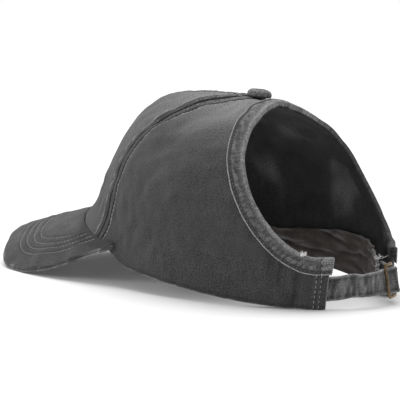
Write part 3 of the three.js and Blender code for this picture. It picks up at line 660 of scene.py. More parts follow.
def opening_places(side):
    """Half of the rear opening's edge, from its hem up to the back centre."""
    lower = [
        flat(
            side * mixed(OPENING_FRONT_ANGLE, HEM_ANGLE, back),
            mixed(OPENING_FRONT_SHARE, HEM_SHARE, down),
        )
        for back, down in OPENING_LOWER
    ]
    upper = [
        flat(
            side * mixed(OPENING_FRONT_ANGLE, 180, back),
            mixed(OPENING_FRONT_SHARE, TOP_SHARE, up),
        )
        for back, up in OPENING_UPPER
    ]
    return lower[::-1] + upper


OPENING_LINE = SmoothLine(opening_places(1) + opening_places(-1)[::-1][1:])


def step_across(place, tangent):
    """The step on the chart that moves one millimetre along the cloth, square to a line."""
    x, y = np.array([PROBE, 0]), np.array([0, PROBE])
    x_way = (crown(place + x) - crown(place - x)) / (2 * PROBE)
    y_way = (crown(place + y) - crown(place - y)) / (2 * PROBE)
    normal = normal_of(crown, place)
    forward = x_way * tangent[..., :1] + y_way * tangent[..., 1:2]
    wanted = unit(np.cross(normal, forward))
    a, b, c = (x_way**2).sum(-1), (x_way * y_way).sum(-1), (y_way**2).sum(-1)
    d, e = (wanted * x_way).sum(-1), (wanted * y_way).sum(-1)
    size = a * c - b * b
    return np.stack([(d * c - e * b) / size, (e * a - d * b) / size], -1)


# Meshes

ORIGIN = Vector((0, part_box("peak_upper")[0].y / MM + PEAK_REACH, 0))


def make_piece(name, points, faces, uv, wear_and_shade, node=None, finish=None):
    """One finished piece from points in millimetres, standing for its CAD node if it has one."""
    slot = SLOTS.get(node, "washed_twill")
    mesh = bpy.data.meshes.new(name)
    placed = (np.asarray(points) + np.array(ORIGIN)) * MM
    placed[:, 2] = np.maximum(placed[:, 2], CLEAR_OF_FLOOR * MM)
    mesh.from_pydata(placed.tolist(), [], faces)
    layer = mesh.uv_layers.new(name="weave")
    corners = np.zeros(len(mesh.loops), np.int32)
    mesh.loops.foreach_get("vertex_index", corners)
    layer.data.foreach_set("uv", (np.asarray(uv) * MM)[corners].astype(np.float32).ravel())
    # The attribute of rubbed wear and painted shade and light, which the cloth's dye group reads.
    attribute = mesh.attributes.new("wear_and_shade", "FLOAT", "POINT")
    attribute.data.foreach_set("value", np.asarray(wear_and_shade, np.float32))
    mesh.polygons.foreach_set("use_smooth", np.full(len(mesh.polygons), True))
    mesh.update()
    mesh.validate()
    mesh.materials.append(materials()[finish or slot])
    piece = bpy.data.objects.new(name, mesh)
    bpy.context.scene.collection.objects.link(piece)
    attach(piece, "root")
    if node:
        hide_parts(node)
    return piece


def sheet_faces(rows, columns):
    """Faces of two like grids, the outer first, closed round their edges."""
    under = rows * columns
    at = np.arange(rows * columns).reshape(rows, columns)
    a, b, c, d = at[:-1, :-1], at[:-1, 1:], at[1:, 1:], at[1:, :-1]
    outer = np.stack([a, b, c, d], -1).reshape(-1, 4)
    inner = np.stack([a, d, c, b], -1).reshape(-1, 4) + under
    edge = np.concatenate([at[0, :-1], at[:-1, -1], at[-1, :0:-1], at[:0:-1, 0]])
    after = np.roll(edge, -1)
    wall = np.stack([edge, edge + under, after + under, after], -1)
    return np.concatenate([outer, inner, wall])


def tube_faces(rings, start=0, closed=False):
    """Quads between the rings of a tube, whose points begin at a number."""
    count, size = rings.shape[:2]
    at = start + np.arange(count * size).reshape(count, size)
    ahead = np.roll(at, -1, axis=0)
    faces = np.stack([at, np.roll(at, -1, axis=1), np.roll(ahead, -1, axis=1), ahead], -1)
    return faces[: count if closed else count - 1].reshape(-1, 4)


def tube_ends(rings, start=0):
    """The two flat ends of a tube."""
    count, size = rings.shape[:2]
    last = start + (count - 1) * size
    return [[*range(start, start + size)][::-1], [*range(last, last + size)]]


def outward(points, faces):
    """The faces, turned so that the closed body's normals point out."""
    a, b, c, d = (points[faces[:, i]] for i in range(4))
    volume = (a * np.cross(b, c)).sum() + (a * np.cross(c, d)).sum()
    return faces[:, ::-1] if volume < 0 else faces


def sheet_piece(node, outer, inner, uv, wear_and_shade):
    """A cloth sheet from its outer and inner grids. Its rubbed wear and painted shade is one grid,
    or one for each face.
    """
    rows, columns = outer.shape[:2]
    points = np.concatenate([outer.reshape(-1, 3), inner.reshape(-1, 3)])
    faces = outward(points, sheet_faces(rows, columns))
    worn_and_lit = np.broadcast_to(wear_and_shade, (2, rows, columns)).reshape(-1)
    uvs = np.concatenate([uv.reshape(-1, 2)] * 2)
    make_piece(node + "_cloth", points, faces.tolist(), uvs, worn_and_lit, node)


def sweep_piece(node, rings, uv, wear_and_shade):
    """A closed tube of cloth from rings of points, capped at both ends."""
    size = rings.shape[1]
    faces = tube_faces(rings)
    points = rings.reshape(-1, 3)
    turned = outward(points, faces)
    caps = tube_ends(rings)
    if not np.array_equal(turned, faces):
        caps = [cap[::-1] for cap in caps]
    middle = [len(points), len(points) + 1]
    points = np.vstack([points, rings[0].mean(0), rings[-1].mean(0)])
    closing = []
    for cap, centre in zip(caps, middle):
        closing += [[cap[i], cap[(i + 1) % size], centre] for i in range(size)]
    uv = np.vstack([uv.reshape(-1, 2), uv[0].mean(0), uv[-1].mean(0)])
    wear_and_shade = np.concatenate([wear_and_shade.reshape(-1), [0, 0]])
    make_piece(node + "_cloth", points, turned.tolist() + closing, uv, wear_and_shade, node)


# Panels


class Panel:
    """One crown panel as a fine grid, with its distances along the cloth."""

    def __init__(self, rows, columns, start, end):
        angle = mixed(start[:, None, 0], end[:, None, 0], columns[None, :])
        down = mixed(start[:, None, 1], end[:, None, 1], columns[None, :])
        beside_peak = PEAK_THICKNESS * over_peak(angle) / meridian_length(angle)
        down = down + beside_peak * np.maximum(1 - rows / 0.03, 0)[:, None]
        self.place = flat(angle, down)
        self.face = crown(self.place)
        self.normal = normal_of(crown, self.place)
        self.face[0, :, 2] = bare_crown(self.place[0])[:, 2]
        self.normal[0, :, 2] = 0
        self.normal[0] = unit(self.normal[0])
        across = lengths_along(self.face, 1)
        self.from_start = across
        self.from_end = across[:, -1:] - across
        self.up = lengths_along(self.face, 0)
        middle = self.face.shape[1] // 2
        up_middle = np.broadcast_to(self.up[:, middle : middle + 1], across.shape)
        self.uv = np.stack([across - across[:, middle : middle + 1], up_middle], -1)
        down = np.hypot(self.place[..., 0], self.place[..., 1])
        # Lighter towards the button and darker towards the rim: partly sun-faded dye and partly
        # painted light from above.
        self.fade = 0.75 * (1 - smoothstep(down, 0.05, 0.5)) - 0.25 * smoothstep(down, 0.35, 0.95)

    def make(self, node, height, thickness, wear_and_shade):
        """The panel's cloth, raised by the height and tapered to the thickness."""
        self.outer = self.face + self.normal * height[..., None]
        inner = self.face - self.normal * np.broadcast_to(thickness, height.shape)[..., None]
        sheet_piece(node, self.outer, inner, self.uv, np.stack([wear_and_shade, inner_blotches_and_shade(self.place)]))

    def row_line(self, distances, wanted, low=0, high=None):
        """Points and normals where the distance has the wanted value, one for each grid row."""
        points, ups = [], []
        for r in range(len(self.face))[low:high]:
            order = np.argsort(distances[r])
            known = distances[r][order]
            if known[-1] < wanted:
                continue
            points.append([np.interp(wanted, known, self.outer[r][order, k]) for k in range(3)])
            ups.append([np.interp(wanted, known, self.normal[r][order, k]) for k in range(3)])
        return np.array(points), unit(np.array(ups))


def seam_relief(distance, up, inset, seed, band=0.35):
    """Height, rubbed wear and painted shade beside a seam that is turned under and topstitched."""
    pucker = ripple(up, distance * 0.6, 5.2, seed)
    dashes = ripple(up, distance, 2.4, seed + 40)
    height = ridges(distance, [(-0.62, 0, 0.6), (-0.28, inset, 0.55)])
    height += 0.30 * smoothstep(inset - distance, 0, 1.2)
    height += 0.14 * pucker * bump(distance, inset - 1, 2.2)
    # Painted shade in the seam's ditch and along the seam's side of the stitching row, and a pale
    # rubbed line just outside the row; the band between the row and the seam is darker.
    wear_and_shade = ridges(distance, [(-0.9, 0, 0.55), (-0.6, inset - 0.6, 0.5), (0.75, inset + 0.3, 0.5)])
    wear_and_shade += 0.6 * dashes * bump(distance, 1.8, 1.6) - band * smoothstep(inset - distance, 0, 0.8)
    # Lighter where the puckers rise, and painted shade where they sink.
    return height, wear_and_shade + 0.25 * pucker * bump(distance, inset + 0.5, 1.5)


def shifted(place, x):
    """Angles and shares down of places moved sideways on the chart."""
    moved = place + np.array([x, 0])
    return np.stack(angle_down(moved), -1)


def front_panel(side, inset):
    """A front panel. Gives back the rows beside its centre seam and its side seam."""
    rows = np.linspace(0, 1, FRONT_GRID[0])
    down = mixed(1, HOLE_SHARE, rows)
    centre = shifted(flat(0 * down, down), side * SEAM_SHIFT)
    seam = shifted(flat(side * seam_angle(down), down), -side * SEAM_SHIFT)
    panel = Panel(rows, crowded(FRONT_GRID[1], 2.6, 0.08), centre, seam)
    centre_height, centre_wear_and_shade = seam_relief(panel.from_start, panel.up, inset, 21)
    seam_height, seam_wear_and_shade = seam_relief(panel.from_end, panel.up, inset, 22, 0.75)
    # Painted shadow along the panel's foot, where it meets the peak.
    wear_and_shade = panel.fade + 0.25 + centre_wear_and_shade + seam_wear_and_shade - 0.7 * bump(panel.up, 0, 1.0)
    node = "front_panel_" + ("left" if side > 0 else "right")
    panel.make(node, centre_height + seam_height, PANEL_THICKNESS, wear_and_shade)
    return [panel.row_line(edge, inset, 3, -6) for edge in (panel.from_start, panel.from_end)]


def side_panel(side, inset):
    """A side panel with its folded hem. Gives back the seam's row and the hem's rows."""
    hem_rows = HEM_END * crowded(HEM_ROWS_OF_MESH, 3, 0.06, (0,))[:-1]
    rows = np.concatenate([hem_rows, np.linspace(HEM_END, 1, SIDE_GRID[0])])
    down = mixed(1, HOLE_SHARE, rows)
    seam = shifted(flat(side * seam_angle(down), down), side * SEAM_SHIFT)
    climb = np.clip((rows - HEM_END) / (1 - HEM_END), 0, 1) / 2
    points, _ = OPENING_LINE.by_length(climb if side > 0 else 1 - climb)
    points[:, 0] = side * np.maximum(side * points[:, 0], SEAM_SHIFT)
    edge = np.stack(angle_down(points), -1)
    hem = rows <= HEM_END
    edge[hem, 0] = side * HEM_ANGLE
    edge[hem, 1] = mixed(1, HEM_SHARE, rows[hem] / HEM_END)
    panel = Panel(rows, crowded(SIDE_GRID[1], 2.6, 0.065), seam, edge)
    height, wear_and_shade = seam_relief(panel.from_start, panel.up, inset, 23)
    below = rows[:, None] <= HEM_END * 1.02
    end, up = panel.from_end, panel.up
    hem_pucker = 0.12 * ripple(up, end * 0.5, 6, 31) * bump(end, 5, 4)
    fold = np.where(below, rounding(end, HEM_THICKNESS * 0.45), 0)
    rim = rounding(up, PANEL_THICKNESS * 0.5)
    height += np.where(below, ridges(end, HEM_RIDGES) + hem_pucker, 0) - fold - rim
    rub = 0.55 + 0.45 * ripple(panel.from_start, up, 9, 33)
    behind_peak = 1 - over_peak(angle_down(panel.place)[0])
    wear_and_shade += panel.fade + hem_fold_shade(panel.place) + np.where(below, ridges(end, HEM_WEAR_AND_SHADE), 0)
    wear_and_shade += (1.15 * rub * bump(up, 0.15, 0.5) - 0.35 * bump(up, 1.6, 0.8)) * behind_peak
    thickness = np.where(below & (end < HEM_FOLD_WIDTH), HEM_THICKNESS, PANEL_THICKNESS)
    node = "side_panel_" + ("left" if side > 0 else "right")
    panel.make(node, height, thickness - rim - fold, wear_and_shade)
    low, high = int(np.argmax(up[:, -1] > LOWEST_HEM_STITCH)), len(hem_rows) - 9
    hem_lines = [panel.row_line(end, row, low, high) for row in HEM_ROWS]
    return [panel.row_line(panel.from_start, inset, 3, -6), *hem_lines]


def hem_fold_shade(place):
    """Painted shade along the soft folds in the cloth ahead of each hem, and painted light along
    one.
    """
    angle, down = angle_down(place)
    streaks = 0 * angle
    for at, half, depth, start, end in HEM_FOLD_SHADES:
        bent = at + 1.2 * ripple(down, 0 * down, 0.16, int(at))
        length = smoothstep(down, start, start + 0.04) * (1 - smoothstep(down, end - 0.06, end))
        streaks -= depth * bump(np.abs(angle), bent, half) * length
    return streaks


def inner_blotches_and_shade(place):
    """The dye's blotches on the inside of the crown, over painted shade that darkens all of the
    inside.
    """
    x, y = CHART_SCALE * place[..., 0], CHART_SCALE * place[..., 1]
    return 0.46 * np.maximum(ripple(x, y, 60, 35), 0) + 0.12 * ripple(x, y, 16, 36) - 0.3


# Binding round the opening


def binding_outline():
    """Distances across and depths round the folded tape."""
    top = -BINDING_STAND_OFF - BINDING_LEAF
    low = PANEL_THICKNESS + BINDING_SLOT
    bottom = low + BINDING_LEAF
    edge = BINDING_LEAF / 2
    shoulder = BINDING_WIDTH - edge
    points = arc((shoulder, top + edge), (edge, -edge), 0, 1, 7)[:-1]
    points += [(across, top) for across in np.linspace(shoulder, -GAP, 34)]
    points += arc((-GAP, (top + bottom) / 2), (BINDING_LEAF, (top - bottom) / 2), 1, 3, 17)[1:-1]
    points += [(across, bottom) for across in np.linspace(-GAP, BINDING_INNER_WIDTH, 14)]
    points += [(BINDING_INNER_WIDTH, low), (-GAP, low)]
    points += [(-GAP, -BINDING_STAND_OFF), (shoulder, -BINDING_STAND_OFF)]
    return np.array(points)


def binding(inset):
    """The tape, and what its rows of stitching need to know of it."""
    points, ways = OPENING_LINE.by_length(np.linspace(0, 1, BINDING_STEPS))
    overhang = BINDING_OVERHANG / (REAR_LENGTH * math.sqrt(HEM_SHARE))
    points = np.vstack([points[0] - ways[0] * overhang, points, points[-1] + ways[-1] * overhang])
    ways = np.vstack([ways[0], ways, ways[-1]])
    line = crown(points)
    walked = lengths_along(line[:, None, :], 0)[:, 0]
    outline = binding_outline()
    to_top = np.abs(2 * np.linspace(0, 1, len(points)) - 1)
    narrow = mixed(BINDING_NARROW, 1, smoothstep(to_top, 0, BINDING_NARROW_SPREAD))
    across = np.where(outline[:, 0] > 0, outline[:, 0] * narrow[:, None], outline[:, 0])
    depth = np.broadcast_to(outline[:, 1], across.shape)
    along = np.broadcast_to(walked[:, None], across.shape)
    from_edge = BINDING_WIDTH * narrow[:, None] - across
    on_face = outline[:, 1] < -BINDING_STAND_OFF - 0.5 * BINDING_LEAF
    on_fold = smoothstep(1.6 - across, 0, 2.2)
    pucker = ripple(along, across * 0.35, 6.5, 41)
    marks = [(-0.34, inset, 0.55), (0.22, 4.4, 2.2), (0.10 * pucker, 4, 3)]
    height = on_face * ridges(from_edge, marks)
    # A pale rubbed line along the outer edge, and painted shade in the groove of the stitching row.
    wear_and_shade = on_face * ridges(from_edge, [(1.15, 0.25, 0.4), (-0.85, inset, 0.7)])
    # A pale line along the fold, partly rubbed wear and partly a painted highlight, kept on the
    # near half of the opening and mostly left off the far half, which is in shade.
    far = 1 - 0.9 * smoothstep(along / walked[-1], 0.58, 0.68)
    wear_and_shade += 0.8 * on_fold * far * (0.8 + 0.3 * ripple(along, across, 5, 42)) * (outline[:, 1] < 1.4)
    wear_and_shade += on_face * 0.22 * ripple(along, across, 4, 43) * bump(from_edge, 4.2, 2.4)
    # Paler towards the top of the opening: painted light from above.
    wear_and_shade += on_face * (0.15 + 0.35 * (1 - smoothstep(to_top[:, None], 0, 0.35)))
    # The leaf inside the crown darkened: painted shade.
    wear_and_shade -= 0.9 * (outline[:, 1] > PANEL_THICKNESS)
    ends = np.minimum(along, walked[-1] - along)
    height -= rounding(ends, 0.5) * on_face
    wear_and_shade += on_face * 0.6 * bump(ends, 0.3, 0.45) + on_face * 0.2 * (ends < BINDING_END_ROW)
    # Painted shade in the groove of the stitching row across each end.
    block = bump(ends, BINDING_END_ROW + 0.2, 0.45) * on_face
    height -= 0.25 * block
    wear_and_shade -= 0.6 * block
    step = step_across(points, ways)
    places = points[:, None, :] + step[:, None, :] * across[..., None]
    rings = in_crown(places, depth - height)
    uv = np.stack([across + 0 * along, along], -1)
    sweep_piece("opening_binding", rings, uv, wear_and_shade)
    return {"points": points, "step": step, "narrow": narrow, "walked": walked, "inset": inset}


def on_binding(tape, across, distances):
    """A line over the binding's face, across from its fold edge at distances along it."""
    x = np.interp(distances, tape["walked"], tape["points"][:, 0])
    y = np.interp(distances, tape["walked"], tape["points"][:, 1])
    steps = tape["step"].T
    step = np.stack([np.interp(distances, tape["walked"], part) for part in steps], -1)
    places = np.stack([x, y], -1) + step * across[:, None]
    depth = np.full(len(places), -BINDING_STAND_OFF - BINDING_LEAF - 0.04)
    return in_crown(places, depth), normal_of(crown, places)


def binding_rows(tape):
    """The row along the binding, the rows across its ends and the bar tacks beyond them."""
    walked = tape["walked"]
    distances = np.linspace(1.0, walked[-1] - 1.0, 700)
    narrow = np.interp(distances, walked, tape["narrow"])
    edge_row = on_binding(tape, BINDING_WIDTH * narrow - tape["inset"], distances)
    lines = []
    across = np.linspace(0.9, BINDING_WIDTH - 0.6, 16)
    for end in (BINDING_END_ROW, walked[-1] - BINDING_END_ROW):
        lines.append(on_binding(tape, across, np.full(16, end)))
    tacks = []
    for start, way in ((1.2, 1), (walked[-1] - 1.2, -1)):
        for row in (0.9, 1.9):
            distances = start + way * np.linspace(0, BINDING_END_ROW - 1.4, 12)
            tacks.append(on_binding(tape, np.full(12, row), distances))
    return edge_row, lines, tacks


# Seam tapes


def seam_tape(node, line_at, top):
    """A tape along a seam, from just under the sweatband's top to near the button."""
    start = float(angle_down(line_at(np.array([1.0])))[0][0])
    low = float(down_at(start, table_at(SWEATBAND_HEIGHTS, abs(start)) - 6))
    high = top / float(meridian_length(start))
    downs = np.linspace(low, high, TAPE_GRID[0])
    places = line_at(downs)
    ways = unit(line_at(downs - PROBE) - line_at(downs + PROBE))
    across = np.linspace(-TAPE_WIDTH / 2, TAPE_WIDTH / 2, TAPE_GRID[1])
    step = step_across(places, ways)
    grid = places[:, None, :] + step[:, None, :] * across[None, :, None]
    depth = PANEL_THICKNESS + 2.5 * GAP
    along = lengths_along(crown(places)[:, None, :], 0)
    row = bump(np.abs(across), 3.4, 0.55)[None, :]
    belly = 0.25 * bump(across, 0, 2.4)[None, :] + 0.1 * ripple(along, across[None, :], 6, 51)
    edge = rounding(TAPE_WIDTH / 2 - np.abs(across), 0.4)[None, :]
    lower = depth + TAPE_THICKNESS + belly - 0.3 * row - edge
    outer = in_crown(grid, np.full(grid.shape[:-1], depth))
    inner = in_crown(grid, lower)
    # Painted shadow along the tape's edges, and painted shade in its stitched grooves.
    tape_edge_shadow = bump(np.abs(across), TAPE_WIDTH / 2, 1.3)[None, :]
    wear_and_shade = np.broadcast_to(0.5 - 0.6 * row - 2.2 * tape_edge_shadow, lower.shape)
    uv = np.stack(np.broadcast_arrays(across[None, :], along), -1)
    sheet_piece(node, outer, inner, uv, wear_and_shade)


# Peak


def peak_edge(share):
    """The peak's edge in plan, from one rear corner to the other."""
    turn = share * math.pi / 2
    wide = PEAK_HALF_WIDTH * np.abs(np.sin(turn)) ** PEAK_SIDE_SQUARENESS
    far = (PEAK_REACH - PEAK_ROOT) * np.maximum(np.cos(turn), 0) ** PEAK_FRONT_SQUARENESS
    y = -PEAK_ROOT - far
    tuck = PEAK_CORNER_TUCK * smoothstep(y, -PEAK_TUCK_START, -PEAK_ROOT)
    return np.stack([np.sign(share) * (wide - tuck), y, 0 * y], -1)


def peak_grid(rows, columns):
    """The peak's upper face from root to edge, and each place's distance from the edge."""
    share = np.sin((np.linspace(0, 1, columns) - 0.5) * math.pi)
    angle = share * PEAK_CORNER_ANGLE
    root = foot_point(angle) + outward_at(angle) * 1.5 * GAP
    plan = mixed(root[None], peak_edge(share)[None], np.linspace(0, 1, rows)[:, None, None])
    plan[..., 2] = peak_top(plan[..., 0], plan[..., 1])
    edge = peak_edge(np.sin(np.linspace(-0.5, 0.5, PEAK_EDGE_STEPS) * math.pi))
    edge[:, 2] = peak_top(edge[:, 0], edge[:, 1])
    to_edge = np.full(plan.shape[:2], 1e9)
    for point in edge:
        to_edge = np.minimum(to_edge, np.linalg.norm(plan - point, axis=-1))
    to_edge[-1] = 0
    return plan, to_edge


def peak_row_lines(grid, normals, to_edge, distance):
    """The places at one distance from the peak's edge, from one root round to the other."""
    points, ups = [], []
    for c in range(grid.shape[1]):
        known = to_edge[::-1, c]
        if known.max() < distance or to_edge[0, c] < distance:
            continue
        crossing = int(np.argmax(known >= distance))
        share = (distance - known[crossing - 1]) / (known[crossing] - known[crossing - 1])
        column, up = grid[::-1, c], normals[::-1, c]
        points.append(mixed(column[crossing - 1], column[crossing], share))
        ups.append(mixed(up[crossing - 1], up[crossing], share))
    return np.array(points), unit(np.array(ups))


def peak_covers(first, pitch, count):
    """Both covers, quilted by their rows of stitching. Gives the rows back."""
    plan, to_edge = peak_grid(*PEAK_GRID)
    normal = -grid_normals(plan)
    normal *= np.sign(normal[..., 2:])
    x, y = plan[..., 0], plan[..., 1]
    rows = [first + pitch * row for row in range(count)]
    from_root = lengths_along(plan, 0)
    grooves = ridges(to_edge, [(1, row, 0.55) for row in rows])
    inside = smoothstep(to_edge, first - 2, first)
    inside *= 1 - smoothstep(to_edge, rows[-1], rows[-1] + pitch)
    wave = 0.5 - 0.5 * np.cos(TAU * (to_edge - first) / pitch)
    height = (0.30 * wave + 0.07 * ripple(x, y, 5.5, 61)) * inside - 0.26 * grooves
    height += ripples(x, y, PEAK_RIPPLES) - rounding(to_edge, 0.75)
    height *= smoothstep(from_root, 0, 6) * 0.85 + 0.15
    rub = 0.6 + 0.4 * ripple(x, y, 7, 64)
    beside = smoothstep(np.abs(x), 42, 68)
    # Painted shadow along the root where the peak meets the crown, wider and deeper towards the
    # sides.
    root = bump(from_root, 0, 3 + 6.5 * beside) * (0.9 + 0.7 * beside) * smoothstep(to_edge, 0, 1.5)
    # The pale rubbed edge, left off near the rear corners, which stay dark with the painted shadow
    # at the root.
    corner = peak_edge(np.array([1.0]))[0]
    edge_light = smoothstep(np.hypot(np.abs(x) - corner[0], y - corner[1]), 2, 7) * rub
    wear_and_shade = ridges(to_edge, [(0.9 * edge_light, 0.1, 0.5), (0.12 * rub, 2.0, 2.0)]) - root
    wear_and_shade += 0.05 - 0.5 * beside + 0.06 * ripple(x, y, 11, 65)
    # Painted shade along the outer side of each stitching row.
    wear_and_shade -= ridges(to_edge, [(0.6, row - 0.7, 0.5) for row in rows])
    top = plan + normal * height[..., None]
    below = np.array([0, 0, 1])
    both = np.stack([wear_and_shade, wear_and_shade * 0])
    sheet_piece("peak_upper", top, plan - PEAK_COVER * below, plan[..., :2], both)
    lower = plan - PEAK_THICKNESS * below
    lower += normal * (0.2 * grooves + 0.9 * rounding(to_edge, 0.75))[..., None]
    lower[..., 2] = np.maximum(lower[..., 2], CLEAR_OF_FLOOR)
    # Underneath: a pale rubbed edge, and painted shade in the stitched grooves.
    lower_wear_and_shade = 0.6 * edge_light * bump(to_edge, 0.2, 0.7) - 0.5 * grooves
    sheet_piece("peak_lower", plan - (PEAK_COVER + GAP) * below, lower, plan[..., :2], lower_wear_and_shade)
    lines = []
    for row in rows:
        lines.append(peak_row_lines(top, normal, to_edge, row))
        lines.append(peak_row_lines(lower, -normal, to_edge, row))
    return lines


# Strap, loop and buckle


def arc_of_strap():
    """Radius, centre and half length of the strap's arc across the back."""
    hem = foot_point(HEM_ANGLE) * np.array([1, 1, 0])
    end = hem - outward_at(HEM_ANGLE) * (HEM_THICKNESS + 2 * GAP + STRAP_THICKNESS / 2)
    back = STRAP_BACK_SHARE * REAR_LENGTH
    sag = back - end[1]
    radius = (end[0] ** 2 + sag**2) / (2 * sag)
    return radius, back - radius, radius * math.asin(end[0] / radius)


ARC_RADIUS, ARC_CENTRE, STRAP_HALF = arc_of_strap()


def lean_at(along):
    """How far the strap leans where it goes through the buckle."""
    share = (along - BUCKLE_PLACE) / BUCKLE_WIDTH
    leaning = smoothstep(share, -1, -1 / 2) * (1 - smoothstep(share, 1 / 2, 4 / 3))
    return math.radians(STRAP_LEAN) * leaning


def strap_place(along, out, height):
    """A point from its distance along the strap's arc, out of it and up."""
    along, out, height = np.broadcast_arrays(along, out, height)
    turn, lean = along / ARC_RADIUS, lean_at(along)
    risen = smoothstep(along, -STRAP_HALF, -STRAP_HALF / 2)
    middle = mixed(STRAP_HEIGHT_AT_HEM, STRAP_HEIGHT, risen)
    reach = ARC_RADIUS + out * np.cos(lean) - height * np.sin(lean)
    rise = height * np.cos(lean) + out * np.sin(lean)
    return np.stack([-np.sin(turn) * reach, ARC_CENTRE + np.cos(turn) * reach, middle + rise], -1)


def band_outline(thickness, width, flat_steps):
    """Places round a folded band's section: out and height."""
    half, edge = width / 2, thickness / 2
    heights = np.linspace(-half + edge, half - edge, flat_steps)
    points = [(edge, height) for height in heights]
    points += arc((0, half - edge), (edge, edge), 0, 2, 9)[1:-1]
    points += [(-edge, height) for height in heights[::-1]]
    points += arc((0, -half + edge), (edge, edge), 2, 4, 9)[1:-1]
    return np.array(points)


def band_piece(node, places, thickness, width, steps, seed, bunching=0, dip=(0, 0, 1)):
    """A folded band along a line. The dip in its top edge is a place, a depth and a half width."""
    line = SmoothLine(places)
    share = np.linspace(0, 1, steps)
    centre = line.at(share)
    way = unit(line.at(np.minimum(share + 1e-4, 1)) - line.at(np.maximum(share - 1e-4, 0)))
    outline = band_outline(thickness, width, 26)
    walked = lengths_along(centre[:, None, :], 0)
    along = np.broadcast_to(walked, (steps, len(outline)))
    height = np.broadcast_to(outline[:, 1], along.shape)
    from_edge = width / 2 - np.abs(height)
    face = np.sign(outline[:, 0])
    pucker = ripple(along, height * 0.4, 6.5, seed)
    flat_part = smoothstep(from_edge, 0.4, 1.6)
    bulge = flat_part * (0.10 * pucker + 0.10 * ripple(along, height, 16, seed + 1))
    bulge = bulge + ridges(from_edge, [(0.16, 1.1, 0.7), (-0.12, 2.2, 0.6)])
    out = outline[:, 0] + face * bulge
    wobble = 0.22 * ripple(along[:, :1], 0 * along[:, :1], 15, seed + 2)
    wobble = wobble - dip[1] * bump(centre[:, :1], dip[0], dip[2]) * (height > 0)
    bunched = 1 + bunching * bump(centre[:, :1], BUCKLE_PLACE, 9)
    rings = strap_place(
        centre[:, :1] - way[:, 1:] * out,
        centre[:, 1:] + way[:, :1] * out,
        height * bunched + wobble,
    )
    wear_and_shade = 1.3 * bump(from_edge, 0.0, 0.75) * (0.7 + 0.45 * ripple(along, height, 7, seed + 3))
    patches = ripple(along, height * 0.3, 3.6, seed + 4) + ripple(along, height * 0.8, 9, seed + 5)
    # Painted shade in the groove beside each edge; the edges themselves are rubbed pale.
    wear_and_shade += 0.28 + 0.22 * patches * flat_part - 0.25 * bump(from_edge, 2.2, 0.6)
    uv = np.stack([along, height + outline[:, 0]], -1)
    sweep_piece(node, rings, uv, wear_and_shade)


def from_buckle(table):
    """A way through the buckle in millimetres: distance along the strap, distance out."""
    return [(BUCKLE_PLACE + along * BUCKLE_WIDTH, out) for along, out in table]


def strap_line():
    """The strap from behind the left hem, through the buckle, to behind the right hem."""
    weave = from_buckle(STRAP_WEAVE)
    start, finish = -STRAP_HALF - STRAP_TUCK, STRAP_HALF + STRAP_TUCK
    plain = [(mixed(start, weave[0][0], part), weave[0][1]) for part in np.linspace(0, 1, 9)[:-1]]
    far_start, far_out = weave[-1]
    far = [(mixed(far_start, finish, part), far_out) for part in np.linspace(0, 1, 4)[1:]]
    return plain + weave + far


def loop_line():
    """The loop from behind the right hem round the buckle's outer bar."""
    way = from_buckle(LOOP_WAY)
    return [(STRAP_HALF + STRAP_TUCK, way[0][1])] + way


def rounded_path(half_width, half_height, radius, steps):
    """A rectangle with rounded corners, corner after corner."""
    points = []
    for turn, (x, y) in enumerate(((1, 1), (-1, 1), (-1, -1), (1, -1))):
        centre = (x * (half_width - radius), y * (half_height - radius))
        points += arc(centre, (radius, radius), turn, turn + 1, steps)
    return np.array(points)


def bar_section(points, centre, wide, deep):
    """Rings of a softened flat bar along a path on the buckle's plane."""
    turns = np.linspace(0, TAU, 16, endpoint=False)
    squared = np.stack([np.cos(turns), np.sin(turns)], -1)
    squared = np.sign(squared) * np.abs(squared) ** 0.7
    plane = points[:, None, :] + squared[None, :, :1] * wide[:, None, :]
    return plane, squared[:, 1] * deep / 2 + centre


def buckle():
    """The frame as one closed loop and the centre bar through it."""
    half_w, half_h, steps = BUCKLE_WIDTH / 2, BUCKLE_HEIGHT / 2, 9
    lines = []
    for path in (
        rounded_path(half_w, half_h, BUCKLE_CORNER, steps),
        rounded_path(half_w - BAR_SEEN, half_h - RAIL_SEEN, BUCKLE_INNER_CORNER, steps),
    ):
        line = []
        for start in range(0, 4 * steps, steps):
            corner, after = path[start : start + steps], path[(start + steps) % (4 * steps)]
            line += [*corner, *np.linspace(corner[-1], after, 12)[1:-1]]
        lines.append(np.array(line))
    middle, wide = (lines[0] + lines[1]) / 2, (lines[0] - lines[1]) / 2
    back = STRAP_THICKNESS / 2 + GAP + BUCKLE_THICKNESS / 2
    points, faces = [], []

    def add(path, half, closed):
        plane, out = bar_section(path, back, half, BUCKLE_THICKNESS)
        rings = strap_place(BUCKLE_PLACE + plane[..., 0], out, plane[..., 1])
        faces.extend(tube_faces(rings, len(points), closed).tolist())
        if not closed:
            faces.extend(tube_ends(rings, len(points)))
        points.extend(rings.reshape(-1, 3))

    add(middle, wide, True)
    reach = half_h - BUCKLE_RAIL * 0.5
    heights = np.linspace(-reach, reach, 20)
    bar = np.stack([0 * heights, heights], -1)
    add(bar, np.broadcast_to([BUCKLE_CENTRE_BAR / 2, 0.0], bar.shape), False)
    points = np.array(points)
    wear_and_shade = 0.5 * ripple(points[:, 0], points[:, 2], 5, 71)
    mesh = make_piece("buckle_metal", points, faces, points[:, [0, 2]], wear_and_shade, "buckle").data
    shape = bmesh.new()
    shape.from_mesh(mesh)
    bmesh.ops.recalc_face_normals(shape, faces=shape.faces)
    shape.to_mesh(mesh)
    shape.free()


# Sweatband


